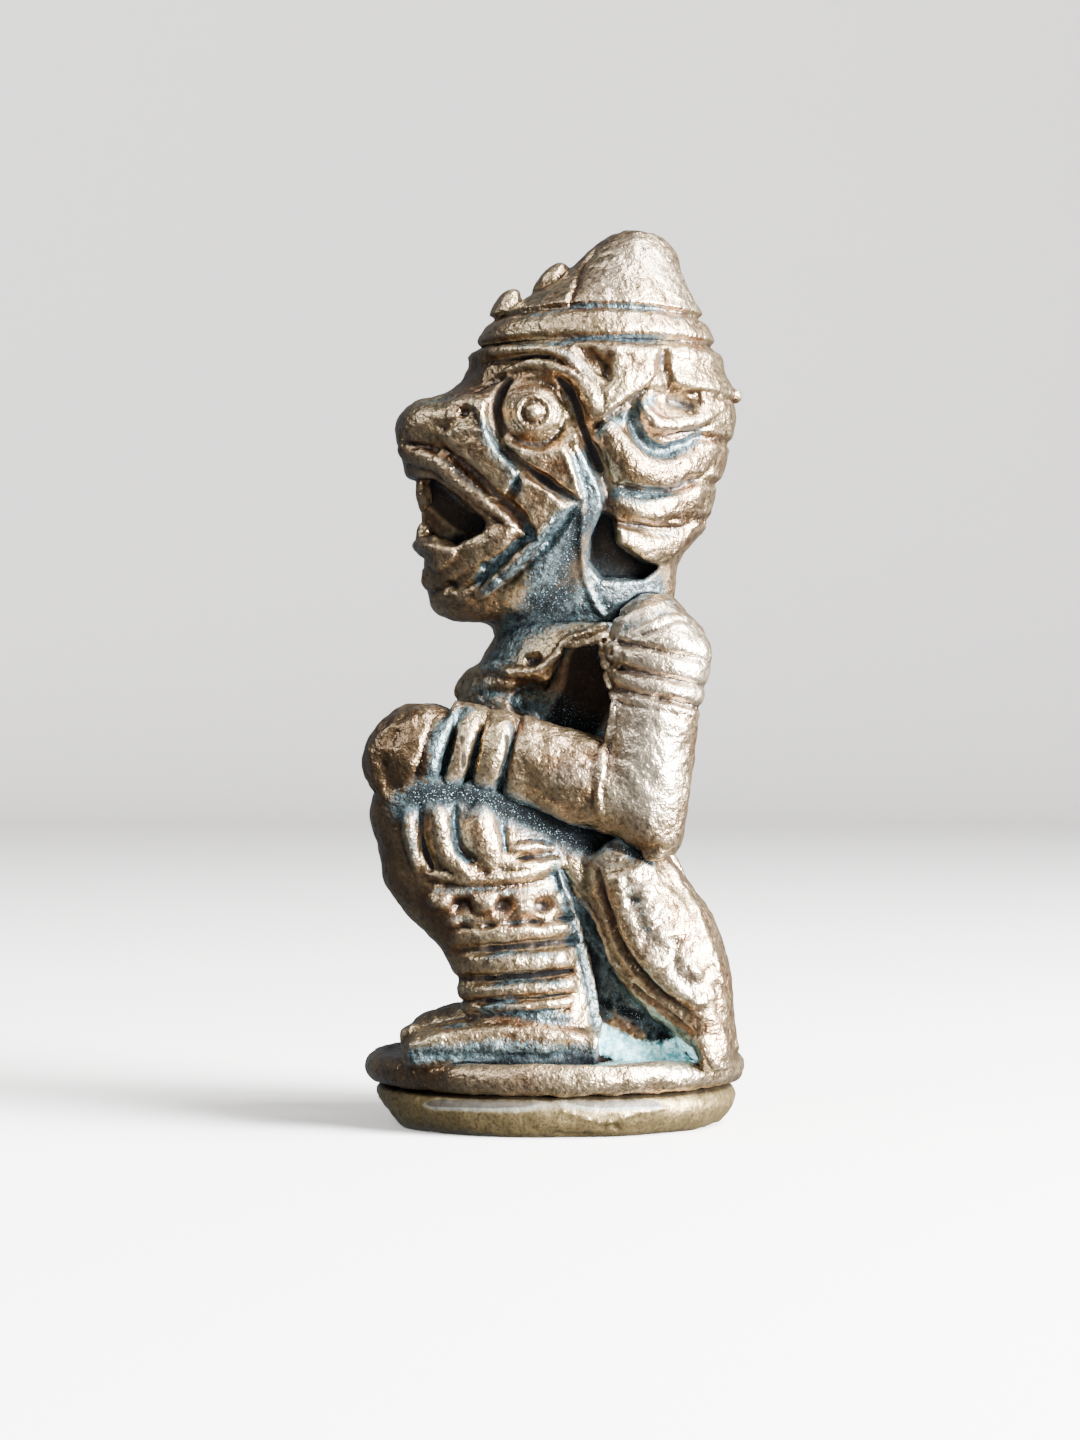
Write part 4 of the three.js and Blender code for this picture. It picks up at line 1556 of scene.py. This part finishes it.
def bronze():
    n = Nodes("bronze")
    shelter, hollow = n.attribute("shelter"), n.attribute("hollow")
    patches = n.noise(1.6, 4.0, 0.6, 0.4)
    mottle = n.noise(0.32, 5.0, 0.65)
    grit = n.noise(0.17, 4.0, 0.7)
    fine = n.noise(0.05, 3.0, 0.6)
    uneven = n.plus(n.math("MULTIPLY", mottle, 0.08), grit, 0.08)
    # Brown and gold metal, paler where the form stands out and dark in the lines.
    metal = n.mix(n.ramp(patches, 0.35, 0.62), BROWN_METAL, GOLD_METAL)
    raised = n.ramp(n.math("SUBTRACT", uneven, hollow), -0.3, -0.08)
    metal = n.mix(raised, metal, RAISED_METAL, 0.7)
    # The brown trails darken the metal: darker metal, and painted shade where it is turned from the
    # light.
    brown_and_shade = n.math("MULTIPLY", n.attribute("brown_and_shade"), n.ramp(mottle, 0.3, 0.6, 0.6, 0.82))
    metal = n.mix(brown_and_shade, metal, DARK_METAL_AND_SHADE)
    metal = n.mix(n.ramp(grit, 0.52, 0.38, 0, 0.6), metal, DARK_GRAIN)
    # The pale trails lighten the metal as a painted highlight.
    pale = n.plus(n.attribute("pale"), grit, 0.5)
    metal = n.mix(n.ramp(pale, 0.4, 1.3, 0, 0.95), metal, PAINTED_HIGHLIGHT_METAL)
    metal = n.mix(n.ramp(n.attribute("crease"), 0.01, 0.09), metal, LINE, 0.85)
    # Grey-blue patina in the sheltered places.
    kept = n.plus(n.ramp(shelter, 0.36, 0.62, 0, 0.55), n.attribute("patina"), 0.95)
    kept = n.plus(n.plus(kept, mottle, 0.7), grit, 0.7)
    patina = n.ramp(kept, 1.0, 1.6)
    blue = n.mix(n.ramp(grit, 0.38, 0.66), DEEP_BLUE, GREY_BLUE)
    colour = n.mix(patina, metal, blue, 0.9)
    # The deepest places and the black trails are painted nearly black: painted shade, over some dark
    # metal.
    dark = n.ramp(n.plus(shelter, uneven), 0.56, 0.72)
    closed = n.ramp(n.plus(hollow, uneven), 0.58, 0.76)
    black_and_shade = n.ramp(n.plus(n.attribute("black_and_shade"), uneven), 0.2, 0.75)
    black = n.highest(dark, closed, black_and_shade)
    colour = n.mix(black, colour, BLACK, 0.97)
    # Fine pale specks on the patina are painted glints, fewer in the painted shade, and a turquoise
    # bloom lies over all.
    unshaded = n.ramp(n.highest(dark, closed), 0, 1, 1, 0.15)
    specks = n.math("MULTIPLY", n.ramp(fine, 0.61, 0.7, 0, 0.6), n.math("MULTIPLY", patina, unshaded))
    colour = n.mix(specks, colour, GLINT_SPECK)
    bloom = n.plus(n.plus(n.attribute("verdigris"), mottle, 0.7), grit, 0.6)
    bloom = n.ramp(bloom, 0.82, 1.28)
    colour = n.mix(bloom, colour, n.mix(n.ramp(grit, 0.4, 0.6), TURQUOISE, PALE_TURQUOISE))
    dull = n.highest(n.math("MULTIPLY", patina, 0.15), bloom, black)
    waves = n.bump(n.noise(0.32, 1.0, 0.5), 0.035, 1.0)
    grains = n.bump(n.noise(0.15, 1.0, 0.5), 0.042, 1.0, waves)
    return n.finish(
        Base_Color=colour,
        Metallic=n.ramp(dull, 0, 1, 0.97, 0),
        # Where the colour is painted black as shade, the shine and the coat are taken away too.
        Specular_IOR_Level=n.ramp(black, 0, 1, 0.5, 0),
        Roughness=n.plus(n.ramp(grit, 0.3, 0.7, 0.28, 0.4), n.ramp(patina, 0, 1, 0, 0.12)),
        Coat_Weight=n.ramp(black, 0, 1, 0.4, 0),
        Coat_Roughness=0.25,
        Normal=n.bump(n.noise(0.06, 1.0, 0.5), 0.016, 1.0, grains),
    )


def brass():
    n = Nodes("base_brass")
    patches = n.noise(1.8, 4.0, 0.6, 0.5)
    mottle = n.noise(0.3, 5.0, 0.65)
    grit = n.noise(0.11, 3.0, 0.6)
    colour = n.mix(patches, BRASS_DARK, BRASS_LIGHT)
    colour = n.mix(n.ramp(grit, 0.55, 0.35, 0, 0.7), colour, BRASS_GRAIN)
    kept = n.plus(n.attribute("patina"), mottle, 0.5)
    colour = n.mix(n.ramp(kept, 0.6, 1.2, 0, 0.7), colour, BRASS_PATINA)
    # Hollows and the black trails are painted dark: painted shade over some dark metal.
    dark = n.plus(n.highest(n.attribute("hollow"), n.attribute("black_and_shade")), mottle, 0.1)
    return n.finish(
        Base_Color=n.mix(n.ramp(dark, 0.5, 0.7), colour, BRASS_BLACK_AND_SHADE, 0.85),
        Metallic=n.ramp(kept, 0.6, 1.1, 0.92, 0.6),
        Roughness=n.plus(n.ramp(mottle, 0.3, 0.7, 0.32, 0.46), n.ramp(kept, 0.6, 1.1, 0, 0.22)),
        Coat_Weight=0.2,
        Coat_Roughness=0.3,
        Normal=n.bump(grit, 0.02, 0.6, n.bump(mottle, 0.05, 0.6)),
    )


# The studio.


def add_camera():
    camera = bpy.data.cameras.new("camera")
    camera.sensor_width = SENSOR
    camera.lens = FOCAL / PICTURE_HEIGHT * SENSOR
    camera.clip_start = 0.005
    camera.clip_end = 10
    holder = placed("camera", camera)
    holder.location = (CAMERA_AWAY * MM, CAMERA_Y * MM, CAMERA_Z * MM)
    holder.rotation_euler = (math.pi / 2, 0, math.pi / 2)
    bpy.context.scene.camera = holder


def add_light(name, at, size, power, colour=(1, 1, 1), aim=(0, 0, 0.014)):
    light = bpy.data.lights.new(name, "AREA")
    light.shape = "DISK"
    light.size = size
    light.energy = power
    light.color = colour
    holder = placed(name, light)
    holder.location = at
    holder.rotation_euler = (Vector(aim) - Vector(at)).to_track_quat("-Z", "Y").to_euler()


def add_floor():
    """A round pale sheet that curves up into the backdrop."""
    flat, curve, wall = 0.35, 0.25, 1.2
    steps, sides = 24, 96
    profile = [(flat, 0.0)]
    for step in range(1, steps + 1):
        turn = math.pi / 2 * step / steps
        profile.append((flat + curve * math.sin(turn), curve * (1 - math.cos(turn))))
    profile.append((flat + curve, wall))
    points = [
        (radius * math.cos(turn), radius * math.sin(turn), height)
        for radius, height in profile
        for turn in np.linspace(0, 2 * math.pi, sides, endpoint=False)
    ]
    faces = [tuple(range(sides))]
    for ring in range(len(profile) - 1):
        low, high = ring * sides, (ring + 1) * sides
        for side in range(sides):
            after = (side + 1) % sides
            faces.append((low + side, high + side, high + after, low + after))
    mesh = bpy.data.meshes.new("floor")
    mesh.from_pydata(points, [], faces)
    mesh.shade_smooth()
    floor = placed("floor", mesh)
    material = bpy.data.materials.new("floor")
    material.use_nodes = True
    shader = material.node_tree.nodes["Principled BSDF"]
    shader.inputs["Base Color"].default_value = (0.78, 0.76, 0.74, 1)
    shader.inputs["Roughness"].default_value = 0.9
    mesh.materials.append(material)
    floor.visible_glossy = False  # the metal mirrors the dim room, not the sheet


def add_studio():
    add_camera()
    add_floor()
    world = bpy.data.worlds.new("studio")
    world.use_nodes = True
    world.node_tree.nodes["Background"].inputs["Color"].default_value = (0.7, 0.82, 1, 1)
    world.node_tree.nodes["Background"].inputs["Strength"].default_value = 0.2
    bpy.context.scene.world = world
    add_light("key", (0.1, 0.17, 0.045), 0.12, 11.5, (0.97, 0.98, 1))
    add_light("top", (0.04, 0.11, 0.2), 0.12, 2.2)
    add_light("fill", (0.1, -0.14, 0.17), 0.12, 0.45, (0.95, 0.98, 1))


# [name, what makes it, the grid's cell in hundredths, a coarser cell, unevenness]
PIECES = [
    ("cap", cap, 0.27, 0.42, 1.0),
    ("head", head, 0.29, 0.42, 1.0),
    ("torso", torso, 0.33, 0.48, 1.0),
    ("legs", legs, 0.34, 0.48, 1.0),
    ("base_rim", rim, 0.33, 0.48, 1.0),
    ("base_disc", disc, 0.36, 0.5, 0.7),
]


def main():
    add_studio()
    metal, yellow = bronze(), brass()
    clays = {
        name: make(cell).both_sides()
        for name, make, cell, coarse, _ in PIECES
    }
    flaws(clays)
    whole = gathered(clays.values())
    solid = (whole.far < 0).astype(np.float32)
    filled = [
        (key, blurred(solid, radius), out)
        for key, (out, radius) in (("shelter", SHELTER), ("hollow", HOLLOW))
    ]
    for name, *_, unevenness in PIECES:
        piece = add_piece(name, clays[name], whole, filled, unevenness)
        piece.data.materials.append(yellow if name == "base_disc" else metal)
        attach(piece, "root")
        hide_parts(NODE)


main()
